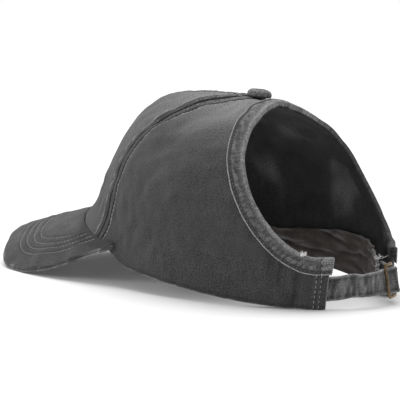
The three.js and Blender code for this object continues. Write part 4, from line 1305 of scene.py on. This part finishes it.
def strap_depth(angle):
    """How deep in the crown the sweatband has to lie to pass inside the strap."""
    foot, out_way = foot_point(angle), outward_at(angle)
    x, y = foot[..., 0], foot[..., 1] - ARC_CENTRE
    along = x * out_way[..., 0] + y * out_way[..., 1]
    depth = along - np.sqrt(np.maximum(along**2 - (x**2 + y**2 - ARC_RADIUS**2), 0))
    out = np.where(angle < 0, STRAP_WEAVE[-1][1], 0)
    return depth - out + STRAP_THICKNESS / 2 + 4.5 * GAP


def band_depth(angle, share):
    """The sweatband's depth in the crown: clear of the panels and tapes, inside the strap."""
    low = PANEL_THICKNESS + 3 * GAP + 1.2 * over_peak(angle)
    top = PANEL_THICKNESS + 5.5 * GAP + TAPE_THICKNESS
    plain = np.maximum(low, mixed(low, top, smoothstep(share, 0, 0.5)))
    tuck = HEM_ANGLE - math.degrees(STRAP_TUCK / REAR_LENGTH) - 2
    at_end = smoothstep(np.abs(angle), tuck - 24, tuck)
    return mixed(plain, strap_depth(angle), at_end)


def sweatband():
    """The band inside the rim, creased along its length and frayed at its far end."""
    end = HEM_ANGLE - math.degrees(SWEATBAND_END_SETBACK / REAR_LENGTH)
    rows, columns = SWEATBAND_GRID
    shares, angles = np.linspace(0, 1, rows), np.linspace(-end, end, columns)
    share, angle = np.meshgrid(shares, angles, indexing="ij")
    top = table_at(SWEATBAND_HEIGHTS, np.abs(angle))
    height = mixed(SWEATBAND_LIFT, top, share)
    place = flat(angle, down_at(angle, height))
    depth = band_depth(angle, share)
    outer = in_crown(place, depth)
    along = lengths_along(outer, 1)
    to_top = top - height
    crease = 0.06 * ripple(along, height * 3, 12, 84)
    wear_and_shade = 0.3 * ripple(along, height * 3, 22, 85)
    # A pale rubbed fold along the top, and painted shade in the groove under it.
    wear_and_shade = wear_and_shade + ridges(to_top, [(0.95, 0.2, 0.8), (-0.4, 2.6, 0.5)])
    for at, wander, seed in BAND_CREASES:
        middle = at + wander * ripple(along, 0 * along, 70, seed)
        strength = 0.55 + 0.45 * ripple(along, 0 * along, 45, seed + 10)
        crease += strength * ridges(height, [(-0.5, middle, 0.9), (0.35, middle + 1.8, 1.0)])
        # Painted shade in each crease, and a paler rubbed ridge above it.
        wear_and_shade += strength * ridges(height, [(-1.4, middle, 0.8), (0.9, middle + 1.6, 0.9)])
    fold = rounding(to_top, SWEATBAND_THICKNESS * 0.45)
    groove = bump(to_top, 2.6, 0.5)
    relief = (crease - 0.2 * groove) * smoothstep(height, 0.5, 3)
    thickness = SWEATBAND_THICKNESS + relief - 2 * fold
    inner = in_crown(place, depth + np.maximum(thickness, 0.25))
    wear_and_shade += bump(np.minimum(along, along[:, -1:] - along), 0, 2.2)
    sheet_piece("sweatband", outer, inner, np.stack([along, height], -1), wear_and_shade)
    far_end = (outer[:, 0] + inner[:, 0]) / 2
    FRAYS.append((far_end[-1], *SWEATBAND_TUFT))
    FRAYS.extend((far_end[row], *fray) for row, fray in SWEATBAND_FRAYS.items())


# Button


def top_button():
    """The covered button turned with its shank and rivet, tilted back on the crown."""
    dome = SmoothLine(BUTTON_DOME).at(np.linspace(0, 1, 30))
    foot, end = BUTTON_LIFT + BUTTON_HOLLOW, -RIVET_DEPTH - RIVET_THICKNESS
    profile = [(r * BUTTON_RADIUS, BUTTON_LIFT + z * BUTTON_DOME_HEIGHT) for r, z in dome[1:]]
    profile += [(0.985 * BUTTON_RADIUS, foot), (0.93 * BUTTON_RADIUS, BUTTON_LIFT)]
    profile += [(0.8 * BUTTON_RADIUS, foot), (SHANK_RADIUS, foot)]
    profile += [(SHANK_RADIUS, -RIVET_DEPTH), (RIVET_RADIUS, -RIVET_DEPTH)]
    profile += [(RIVET_RADIUS, end), (0.02, end)]
    radius = np.array([r for r, _ in profile])[:, None]
    height = np.array([z for _, z in profile])[:, None]
    turn = np.linspace(0, TAU, BUTTON_SIDES, endpoint=False)[None, :]
    x, y = radius * np.cos(turn), radius * np.sin(turn)
    on_dome = (height > BUTTON_LIFT + 0.2) * smoothstep(radius, 0.1, 1.0)
    near_rim = bump(radius, BUTTON_RADIUS, 2.4) * on_dome
    tucks = 0.55 * np.sin(11 * turn + 0.6 * np.sin(3 * turn)) + 0.45 * np.sin(17 * turn + 2)
    gather = near_rim * tucks
    swell = 1 + 0.001 * gather + 0.003 * on_dome * ripple(x, y, 8, 91)
    slump = 0.05 * on_dome * ripple(x, y, 9, 92)
    points = np.stack([x * swell, y * swell, height + slump + 0 * turn], -1)
    tilt = math.radians(-BUTTON_TILT)
    turned = points.copy()
    turned[..., 1] = points[..., 1] * math.cos(tilt) - points[..., 2] * math.sin(tilt)
    turned[..., 2] = points[..., 1] * math.sin(tilt) + points[..., 2] * math.cos(tilt)
    crest = crown(np.array([[0.0, PROBE]]))[0][2] - CROWN_HEIGHT
    turned += np.array([0, BUTTON_SETBACK, CROWN_HEIGHT + crest])
    patches = 0.1 * ripple(x, y, 3.5, 93) + 0.1
    wear_and_shade = on_dome * (0.55 * bump(radius, 5.2, 2.0) + 0.02 * gather + patches)
    # Painted shade under the dome: on its underside, its shank and its rivet.
    wear_and_shade = wear_and_shade - 0.7 * (height < BUTTON_LIFT + 0.7) + 0 * turn
    uv = np.stack([x + 0 * turn, y + 0 * turn], -1)
    sweep_piece("top_button", turned, uv, wear_and_shade)


# Stitching


def stitch_tree():
    """Lays stitches along a line whose vertices each carry the cloth's up direction."""
    tree = bpy.data.node_groups.new("Stitches along a line", "GeometryNodeTree")
    sockets = new_sockets(tree, "INPUT", "Geometry", "Geometry")
    sockets |= new_sockets(tree, "INPUT", "Float", "Pitch", "Stitch Length", "Thread Width")
    sockets |= new_sockets(tree, "INPUT", "Int", "Seed")
    sockets |= new_sockets(tree, "INPUT", "Material", "Material")
    new_sockets(tree, "OUTPUT", "Geometry", "Geometry")
    nodes = Nodes(tree)
    given = nodes.add("NodeGroupInput").outputs

    def uneven(low, high):
        limits = {0: low, 1: high, "Seed": given["Seed"]}
        return nodes.out("FunctionNodeRandomValue", limits, data_type="FLOAT_VECTOR")

    line = nodes.out("GeometryNodeMeshToCurve", {0: given["Geometry"]})
    spacing = {"Curve": line, "Length": given["Pitch"]}
    even = nodes.out("GeometryNodeResampleCurve", spacing, mode="LENGTH")
    ball = nodes.out("GeometryNodeMeshUVSphere", {"Segments": 7, "Rings": 5, "Radius": 0.5})
    width = given["Thread Width"]
    size = nodes.out("ShaderNodeCombineXYZ", {0: given["Stitch Length"], 1: width, 2: width})
    stitch = nodes.out("GeometryNodeTransform", {"Geometry": ball, "Scale": size})
    way = nodes.out("GeometryNodeInputTangent")
    up = nodes.out("GeometryNodeInputNamedAttribute", {"Name": "up"}, data_type="FLOAT_VECTOR")
    align = "FunctionNodeAlignRotationToVector"
    turned = nodes.out(align, {"Vector": way}, axis="X")
    upright = nodes.out(align, {"Rotation": turned, "Vector": up}, axis="Z", pivot_axis="X")
    swung = nodes.out("FunctionNodeEulerToRotation", {0: uneven((0, 0, -0.07), (0, 0, 0.07))})
    turns = {0: upright, 1: swung}
    rotation = nodes.out("FunctionNodeRotateRotation", turns, rotation_space="LOCAL")
    scale = uneven((0.88, 0.85, 0.85), (1.06, 1.12, 1.12))
    place = {"Points": even, "Instance": stitch, "Rotation": rotation, "Scale": scale}
    laid = nodes.out("GeometryNodeInstanceOnPoints", place)
    real = nodes.out("GeometryNodeRealizeInstances", {0: laid})
    soft = nodes.out("GeometryNodeSetShadeSmooth", {"Geometry": real})
    done = nodes.out("GeometryNodeSetMaterial", {"Geometry": soft, "Material": given["Material"]})
    nodes.add("NodeGroupOutput", {0: done})
    return tree, sockets


def stitched(name, lines, tree, sockets, values):
    """A piece of stitches along lines of points, each with its up directions."""
    points, edges, ups = [], [], []
    for line, up in lines:
        start = len(points)
        points.extend((line + np.array(ORIGIN)) * MM)
        ups.extend(up)
        edges.extend((i, i + 1) for i in range(start, len(points) - 1))
    lines_at = np.array(points)
    lines_at[:, 2] = np.maximum(lines_at[:, 2], STITCH_CLEAR_OF_FLOOR * MM)
    mesh = bpy.data.meshes.new(name + " lines")
    mesh.from_pydata(lines_at.tolist(), edges, [])
    attribute = mesh.attributes.new("up", "FLOAT_VECTOR", "POINT")
    attribute.data.foreach_set("vector", np.asarray(ups, np.float32).ravel())
    guide = bpy.data.objects.new(name + " lines", mesh)
    bpy.context.scene.collection.objects.link(guide)
    modifier = guide.modifiers.new("Stitches", "NODES")
    modifier.node_group = tree
    for label, value in values.items():
        modifier[sockets[label].identifier] = value
    bpy.context.view_layer.update()
    evaluated = guide.evaluated_get(bpy.context.evaluated_depsgraph_get())
    made = bpy.data.meshes.new_from_object(evaluated)
    made.name = name
    bpy.data.objects.remove(guide)
    piece = bpy.data.objects.new(name, made)
    bpy.context.scene.collection.objects.link(piece)
    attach(piece, "root")
    return piece


# Loose threads


def thread_tubes(name, paths):
    """Short bare threads as thin tubes, tapered to their ends."""
    points, faces = [], []
    turn = np.linspace(0, TAU, 5, endpoint=False)[None, :, None]
    thin = THREAD_RADIUS * (1 - 0.75 * np.linspace(0, 1, 12) ** 2)[:, None, None]
    for path in paths:
        line = SmoothLine(path).at(np.linspace(0, 1, 12))
        way = unit(np.gradient(line, axis=0))
        side = unit(np.cross(way, np.array([0.31, 0.2, 0.93])))
        up = np.cross(side, way)
        rings = line[:, None] + thin * (np.cos(turn) * side[:, None] + np.sin(turn) * up[:, None])
        faces += tube_faces(rings, len(points)).tolist() + tube_ends(rings, len(points))
        points.extend(rings.reshape(-1, 3))
    points = np.array(points)
    make_piece(name, points, faces, points[:, :2], np.full(len(points), 0.8), finish="bare thread")


def tuft(root, count, reach, rise, seed):
    """Threads that spring from one place, each its own bent way."""
    rng = np.random.default_rng(seed)
    paths = []
    for _ in range(count):
        start = np.array(root) + rng.normal(0, 0.7, 3) * np.array([1, 1, 0.3])
        way = rng.normal(0, 1, 3) * np.array([1, 1, 0.5]) + np.array([0, 0, rise])
        way = way / np.linalg.norm(way) * reach * rng.uniform(0.45, 1.0)
        bend = rng.normal(0, 0.35, 3) * reach
        steps = ((0, 0), (0.4, 0.3), (0.75, 0.5), (1, 0.2))
        paths.append([start + way * along + bend * aside for along, aside in steps])
    return paths


# Materials


class Nodes:
    """Adds nodes to one tree, with their settings and links in the same call."""

    def __init__(self, tree):
        self.tree = tree

    def give(self, node, inputs):
        """Sets a node's inputs, or links them to another node's output."""
        for key, value in inputs.items():
            if isinstance(value, bpy.types.NodeSocket):
                self.tree.links.new(value, node.inputs[key])
            else:
                node.inputs[key].default_value = value

    def add(self, kind, inputs=None, **settings):
        """A new node, with its settings made first and its inputs given after."""
        node = self.tree.nodes.new(kind)
        for key, value in settings.items():
            setattr(node, key, value)
        self.give(node, inputs or {})
        return node

    def out(self, kind, inputs=None, **settings):
        """The first output of a new node."""
        return self.add(kind, inputs, **settings).outputs[0]

    def math(self, operation, a, b=0.0):
        return self.out("ShaderNodeMath", {0: a, 1: b}, operation=operation)

    def times(self, vector, factors):
        return self.out("ShaderNodeVectorMath", {0: vector, 1: factors}, operation="MULTIPLY")

    def total(self, *parts):
        found = parts[0]
        for part in parts[1:]:
            found = self.math("ADD", found, part)
        return found

    def weighted(self, *parts):
        """The sum of values, each times its weight."""
        return self.total(*(self.math("MULTIPLY", value, weight) for value, weight in parts))

    def noise(self, vector, scale, detail=2.0, roughness=0.55):
        inputs = {"Vector": vector, "Scale": scale, "Detail": detail, "Roughness": roughness}
        return self.math("SUBTRACT", self.add("ShaderNodeTexNoise", inputs).outputs["Fac"], 0.5)

    def blend(self, share, a, b):
        inputs = {"Factor": share, "A": a, "B": b}
        node = self.add("ShaderNodeMix", inputs, data_type="RGBA", clamp_factor=True)
        return node.outputs["Result"]


def new_sockets(tree, in_out, kind, *names):
    kind = "NodeSocket" + kind
    make = tree.interface.new_socket
    return {name: make(name, in_out=in_out, socket_type=kind) for name in names}


def new_material(name):
    """A material, with its nodes and its surface shader."""
    material = bpy.data.materials.new(name)
    material.use_nodes = True
    return material, Nodes(material.node_tree), material.node_tree.nodes["Principled BSDF"]


def rgba(colour):
    return (*colour, 1.0)


def weave_group():
    """Twill lines and their threads, in millimetres of the piece's own UV map."""
    tree = bpy.data.node_groups.new("Twill weave", "ShaderNodeTree")
    new_sockets(tree, "INPUT", "Float", "Pitch")
    new_sockets(tree, "OUTPUT", "Float", "Height", "Thread")
    nodes = Nodes(tree)
    pitch = nodes.add("NodeGroupInput").outputs["Pitch"]
    place = nodes.times(nodes.out("ShaderNodeUVMap", uv_map="weave"), IN_MM)
    wobble = {"Vector": place, "Scale": 0.55, "Detail": 1.0}
    wobble = nodes.add("ShaderNodeTexNoise", wobble).outputs["Color"]
    bend = {0: wobble, 1: (0.55, 0.55, 0.55), 2: place}
    bent = nodes.out("ShaderNodeVectorMath", bend, operation="MULTIPLY_ADD")
    split = nodes.add("ShaderNodeSeparateXYZ", {0: bent}).outputs
    diagonal = nodes.math("ADD", split[0], nodes.math("MULTIPLY", split[1], 0.85))
    wale = nodes.math("SINE", nodes.math("MULTIPLY", nodes.math("DIVIDE", diagonal, pitch), TAU))
    weft = nodes.math("MULTIPLY", nodes.math("DIVIDE", split[1], pitch), TAU * 1.9)
    weft = nodes.math("SINE", weft)
    height = nodes.math("ADD", nodes.weighted((wale, 0.34), (weft, 0.14)), 0.5)
    nodes.add("NodeGroupOutput", {"Height": height, "Thread": wale})
    return tree


def dye_and_shade_group():
    """Dye washed out unevenly: speckled threads, streaks, blotches and rubbed places, with the
    painted shade and painted light that the cloth's attribute carries.
    """
    tree = bpy.data.node_groups.new("Washed dye with painted shade", "ShaderNodeTree")
    new_sockets(tree, "INPUT", "Color", "Dark", "Light", "Worn")
    new_sockets(tree, "INPUT", "Float", "Base", "Speckle", "Mottle", "Thread")
    new_sockets(tree, "OUTPUT", "Color", "Color")
    new_sockets(tree, "OUTPUT", "Float", "Grain")
    nodes = Nodes(tree)
    given = nodes.add("NodeGroupInput").outputs
    cloth = nodes.times(nodes.out("ShaderNodeUVMap", uv_map="weave"), IN_MM)
    solid = nodes.times(nodes.add("ShaderNodeTexCoord").outputs["Object"], IN_MM)
    wear_and_shade = nodes.add("ShaderNodeAttribute", attribute_name="wear_and_shade").outputs["Fac"]
    speck = nodes.noise(cloth, 1.15, 3.0, 0.62)
    streak = nodes.noise(nodes.times(cloth, (1.0, 0.14, 1.0)), 0.8)
    patch = nodes.noise(solid, 0.13, 3.0, 0.6)
    cloud = nodes.noise(solid, 0.035)
    mottled = nodes.weighted((patch, 1.1), (cloud, 0.8), (streak, 1.3))
    raised = nodes.math("ADD", nodes.math("MULTIPLY", wear_and_shade, 0.6), 0.82)
    grain = nodes.math("MULTIPLY", speck, raised)
    spots = nodes.weighted((grain, given["Speckle"]), (mottled, given["Mottle"]))
    # The attribute darkens the cloth where shade is painted and lightens it on rubbed places and
    # under painted light; its positive side also leads to the rubbed-edge colour.
    share = nodes.total(spots, nodes.weighted((given["Thread"], 0.05), (wear_and_shade, 0.34)), given["Base"])
    dyed = nodes.blend(share, given["Dark"], given["Light"])
    patchy = nodes.math("ADD", nodes.math("MULTIPLY", speck, 3.4), 0.75)
    rubbed = nodes.math("MAXIMUM", nodes.math("MULTIPLY", wear_and_shade, patchy), 0.0)
    colour = nodes.blend(nodes.math("MULTIPLY", rubbed, 0.85), dyed, given["Worn"])
    nodes.add("NodeGroupOutput", {"Color": colour, "Grain": speck})
    return tree


def cloth_material(name, dark, light, worn_and_lit, groups, pitch, base=0.36, speckle=2.1, mottle=0.24):
    """Soft matt twill, its colour uneven as washed dye is, and darkened and lightened by painted
    shade and light.
    """
    material, nodes, surface = new_material(name)
    weave = nodes.add("ShaderNodeGroup", {"Pitch": pitch / MM}, node_tree=groups["weave"]).outputs
    dyeing = {"Dark": rgba(dark), "Light": rgba(light), "Worn": rgba(worn_and_lit)}
    dyeing["Thread"] = weave["Thread"]
    dyeing |= {"Base": base, "Speckle": speckle, "Mottle": mottle}
    dye = nodes.add("ShaderNodeGroup", dyeing, node_tree=groups["dye"]).outputs
    height = nodes.total(weave["Height"], nodes.math("MULTIPLY", dye["Grain"], 0.9))
    bumped = nodes.out("ShaderNodeBump", {"Strength": 0.6, "Distance": 0.0002, "Height": height})
    nodes.give(surface, {"Base Color": dye["Color"], "Normal": bumped, "Roughness": 0.92})
    nodes.give(surface, {"Specular IOR Level": 0.18, "Sheen Weight": 0.12, "Sheen Roughness": 0.6})
    return material


def brass_material(cloth):
    """Brass gone dark in patches."""
    material, nodes, surface = new_material("antique brass")
    tarnish = nodes.noise(nodes.add("ShaderNodeTexCoord").outputs["Object"], 380.0, 3.0)
    share = nodes.math("ADD", nodes.math("MULTIPLY", tarnish, 2.2), 0.55)
    colour = nodes.blend(share, rgba(cloth.brass_dark), rgba(cloth.brass))
    rough = nodes.math("ADD", nodes.math("MULTIPLY", tarnish, -0.5), 0.42)
    nodes.give(surface, {"Base Color": colour, "Roughness": rough, "Metallic": 1.0})
    return material


def thread_material(name, colour):
    """Cotton thread, flecked lighter and darker."""
    material, nodes, surface = new_material(name)
    fleck = nodes.noise(nodes.add("ShaderNodeTexCoord").outputs["Object"], 900.0)
    share = nodes.math("ADD", nodes.math("MULTIPLY", fleck, 1.6), 0.5)
    dark, light = ([min(value * tone, 1.0) for value in colour] for tone in (0.55, 1.3))
    mottled = nodes.blend(share, rgba(dark), rgba(light))
    nodes.give(surface, {"Base Color": mottled, "Roughness": 0.85})
    return material


def materials():
    """The finishes, made once for all the operators."""
    if MADE:
        return MADE
    cloth, stitches = bpy.context.scene.cap_cloth, bpy.context.scene.cap_stitches
    made = {"weave": weave_group(), "dye": dye_and_shade_group()}, cloth.weave_pitch
    dyes = (cloth.dark, cloth.light, cloth.worn_and_lit)
    MADE["washed_twill"] = cloth_material("washed twill", *dyes, *made)
    tape = (cloth.tape_dark, cloth.tape_light, cloth.light)
    MADE["dark_tape"] = cloth_material("dark tape", *tape, *made, speckle=1.0)
    band = (cloth.band_dark, cloth.band_light, cloth.worn_and_lit)
    band_look = {"base": 0.62, "speckle": 1.2, "mottle": 0.5}
    MADE["sweatband_twill"] = cloth_material("sweatband twill", *band, *made, **band_look)
    MADE["antique_brass"] = brass_material(cloth)
    MADE["thread"] = thread_material("topstitching thread", stitches.thread)
    MADE["dark thread"] = thread_material("dark thread", stitches.dark_thread)
    MADE["bare thread"] = thread_material("bare cotton thread", (0.85, 0.82, 0.82))
    return MADE


# Operators


class CAP_OT_panels(bpy.types.Operator):
    """Make the four crown panels with their seams, hems and soft folds"""

    bl_idname = "cap.panels"
    bl_label = "Crown panels"

    def execute(self, context):
        inset = context.scene.cap_stitches.seam_inset / MM
        for side in (1, -1):
            STITCH_LINES["rows"] += front_panel(side, inset) + side_panel(side, inset)
        return {"FINISHED"}


class CAP_OT_binding(bpy.types.Operator):
    """Make the folded tape round the rear opening"""

    bl_idname = "cap.binding"
    bl_label = "Opening binding"

    def execute(self, context):
        tape = binding(context.scene.cap_stitches.binding_inset / MM)
        edge_row, rows, tacks = binding_rows(tape)
        STITCH_LINES["dark"].append(edge_row)
        STITCH_LINES["rows"] += rows
        STITCH_LINES["tacks"] += tacks
        torn, _ = on_binding(tape, np.array([-0.7]), np.array([TUFT_ALONG]))
        FRAYS.append((torn[0], *BINDING_TUFT))
        return {"FINISHED"}


class CAP_OT_peak(bpy.types.Operator):
    """Make the peak's two covers, quilted by their rows of stitching"""

    bl_idname = "cap.peak"
    bl_label = "Peak covers"

    def execute(self, context):
        rows = context.scene.cap_stitches
        first, pitch = rows.peak_first / MM, rows.peak_pitch / MM
        STITCH_LINES["rows"] += peak_covers(first, pitch, rows.peak_rows)
        return {"FINISHED"}


class CAP_OT_inside(bpy.types.Operator):
    """Make the sweatband and the three seam tapes"""

    bl_idname = "cap.inside"
    bl_label = "Sweatband and seam tapes"

    def execute(self, context):
        sweatband()
        seam_tape("seam_tape_centre", lambda down: flat(0 * down, down), 7)
        for side, name in ((1, "left"), (-1, "right")):
            seam_tape(
                "seam_tape_" + name, lambda down, s=side: flat(s * seam_angle(down), down), 19
            )
        return {"FINISHED"}


class CAP_OT_strap(bpy.types.Operator):
    """Make the strap, its loop and the brass buckle"""

    bl_idname = "cap.strap"
    bl_label = "Strap and buckle"

    def execute(self, context):
        size = (STRAP_THICKNESS, STRAP_WIDTH)
        ruffled = {"bunching": 0.085, "dip": (-14, 0.7, 5)}
        band_piece("strap", strap_line(), *size, STRAP_STEPS, 101, **ruffled)
        band_piece("buckle_loop", loop_line(), LOOP_THICKNESS, LOOP_WIDTH, LOOP_STEPS, 121)
        buckle()
        return {"FINISHED"}


class CAP_OT_button(bpy.types.Operator):
    """Make the cloth-covered button on top"""

    bl_idname = "cap.button"
    bl_label = "Top button"

    def execute(self, context):
        top_button()
        return {"FINISHED"}


class CAP_OT_stitching(bpy.types.Operator):
    """Lay the topstitching and the bar tacks"""

    bl_idname = "cap.stitching"
    bl_label = "Stitching"

    def execute(self, context):
        if not STITCH_LINES["rows"]:
            raise RuntimeError("make the panels, the binding and the peak first")
        settings = context.scene.cap_stitches
        tree, sockets = stitch_tree()
        plain = (settings.length + settings.gap, settings.length)
        tack = (settings.length * 0.6, settings.length * 0.65)
        for name, lines, thread, (pitch, length) in (
            ("topstitching", "rows", "thread", plain),
            ("binding_stitching", "dark", "dark thread", plain),
            ("bar_tacks", "tacks", "thread", tack),
        ):
            values = {"Pitch": pitch, "Stitch Length": length, "Thread Width": settings.width}
            values |= {"Seed": settings.seed, "Material": materials()[thread]}
            stitched(name, STITCH_LINES[lines], tree, sockets, values)
        return {"FINISHED"}


class CAP_OT_frays(bpy.types.Operator):
    """Make the loose bare threads at the binding's fold and the sweatband's end"""

    bl_idname = "cap.frays"
    bl_label = "Loose threads"

    def execute(self, context):
        if not FRAYS:
            raise RuntimeError("make the binding and the sweatband first")
        paths = [path for fray in FRAYS for path in tuft(*fray)]
        thread_tubes("loose_threads", paths)
        return {"FINISHED"}


class CAP_OT_stage(bpy.types.Operator):
    """Set the pale floor, the soft light and the camera"""

    bl_idname = "cap.stage"
    bl_label = "Floor, light and camera"

    def execute(self, context):
        make_stage(context.scene, context.scene.cap_stage)
        return {"FINISHED"}


def soft_light(scene, name, towards, width, strength):
    """A wide far light, so that the whole floor is lit alike."""
    lamp = bpy.data.lights.new(name, "SUN")
    lamp.angle = math.radians(width)
    lamp.energy = strength
    light = bpy.data.objects.new(name, lamp)
    light.rotation_euler = (-Vector(towards)).to_track_quat("-Z", "Y").to_euler()
    scene.collection.objects.link(light)


def make_stage(scene, settings):
    """The floor, the even white surroundings, two soft lights and the camera."""
    mesh = bpy.data.meshes.new("floor")
    corners = [(x * FLOOR_HALF, y * FLOOR_HALF, 0) for x, y in ((-1, -1), (1, -1), (1, 1), (-1, 1))]
    mesh.from_pydata(corners, [], [(0, 1, 2, 3)])
    floor = bpy.data.objects.new("floor", mesh)
    scene.collection.objects.link(floor)
    pale, nodes, surface = new_material("pale floor")
    colour = rgba(settings.floor)
    nodes.give(surface, {"Base Color": colour, "Roughness": 1.0, "Specular IOR Level": 0.0})
    nodes.give(surface, {"Emission Color": colour, "Emission Strength": settings.glow})
    mesh.materials.append(pale)
    world = bpy.data.worlds.new("studio")
    world.use_nodes = True
    nodes = Nodes(world.node_tree)
    world.node_tree.nodes.clear()
    seen = nodes.add("ShaderNodeLightPath").outputs["Is Camera Ray"]
    strength = nodes.math("ADD", nodes.math("MULTIPLY", seen, 1.0 - settings.sky), settings.sky)
    sky = nodes.out("ShaderNodeBackground", {"Color": (1, 1, 1, 1), "Strength": strength})
    nodes.add("ShaderNodeOutputWorld", {0: sky})
    scene.world = world
    soft_light(scene, "overhead", (-0.34, -0.42, 1.0), 70, settings.key)
    soft_light(scene, "low from the left", (1.0, -0.45, 0.36), 24, settings.low)
    data = bpy.data.cameras.new("camera")
    data.lens = settings.lens
    data.sensor_width = 36
    data.clip_start, data.clip_end = 0.05, 60
    camera = bpy.data.objects.new("camera", data)
    aim = (Vector(CAMERA_AIM) - Vector(CAMERA_PLACE)).to_track_quat("-Z", "Y").to_matrix().to_4x4()
    roll = Matrix.Rotation(math.radians(CAMERA_ROLL), 4, "Z")
    camera.matrix_world = Matrix.Translation(CAMERA_PLACE) @ aim @ roll
    scene.collection.objects.link(camera)
    scene.camera = camera
    scene.view_settings.view_transform = "Standard"


class CAP_PT_panel(bpy.types.Panel):
    """Lists the cap's pieces in the order they are made"""

    bl_label = "Ponytail cap"
    bl_idname = "CAP_PT_panel"
    bl_space_type = "VIEW_3D"
    bl_region_type = "UI"
    bl_category = "Cap"

    def draw(self, context):
        for operator in OPERATORS:
            self.layout.operator(operator.bl_idname)
        for group in (context.scene.cap_cloth, context.scene.cap_stitches, context.scene.cap_stage):
            box = self.layout.box()
            for key in group.__annotations__:
                box.prop(group, key)


SETTINGS = (CapClothSettings, CapStitchSettings, CapStageSettings)
OPERATORS = (
    CAP_OT_panels,
    CAP_OT_binding,
    CAP_OT_peak,
    CAP_OT_inside,
    CAP_OT_strap,
    CAP_OT_button,
    CAP_OT_stitching,
    CAP_OT_frays,
    CAP_OT_stage,
)


def register():
    for kind in (*SETTINGS, *OPERATORS, CAP_PT_panel):
        bpy.utils.register_class(kind)
    bpy.types.Scene.cap_cloth = PointerProperty(type=CapClothSettings)
    bpy.types.Scene.cap_stitches = PointerProperty(type=CapStitchSettings)
    bpy.types.Scene.cap_stage = PointerProperty(type=CapStageSettings)


def unregister():
    del bpy.types.Scene.cap_cloth
    del bpy.types.Scene.cap_stitches
    del bpy.types.Scene.cap_stage
    for kind in (CAP_PT_panel, *reversed(OPERATORS), *reversed(SETTINGS)):
        bpy.utils.unregister_class(kind)


def main():
    """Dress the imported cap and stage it."""
    register()
    bpy.ops.cap.panels()
    bpy.ops.cap.binding()
    bpy.ops.cap.peak()
    bpy.ops.cap.inside()
    bpy.ops.cap.strap()
    bpy.ops.cap.button()
    bpy.ops.cap.stitching()
    bpy.ops.cap.frays()
    bpy.ops.cap.stage()


if __name__ == "__main__":
    main()
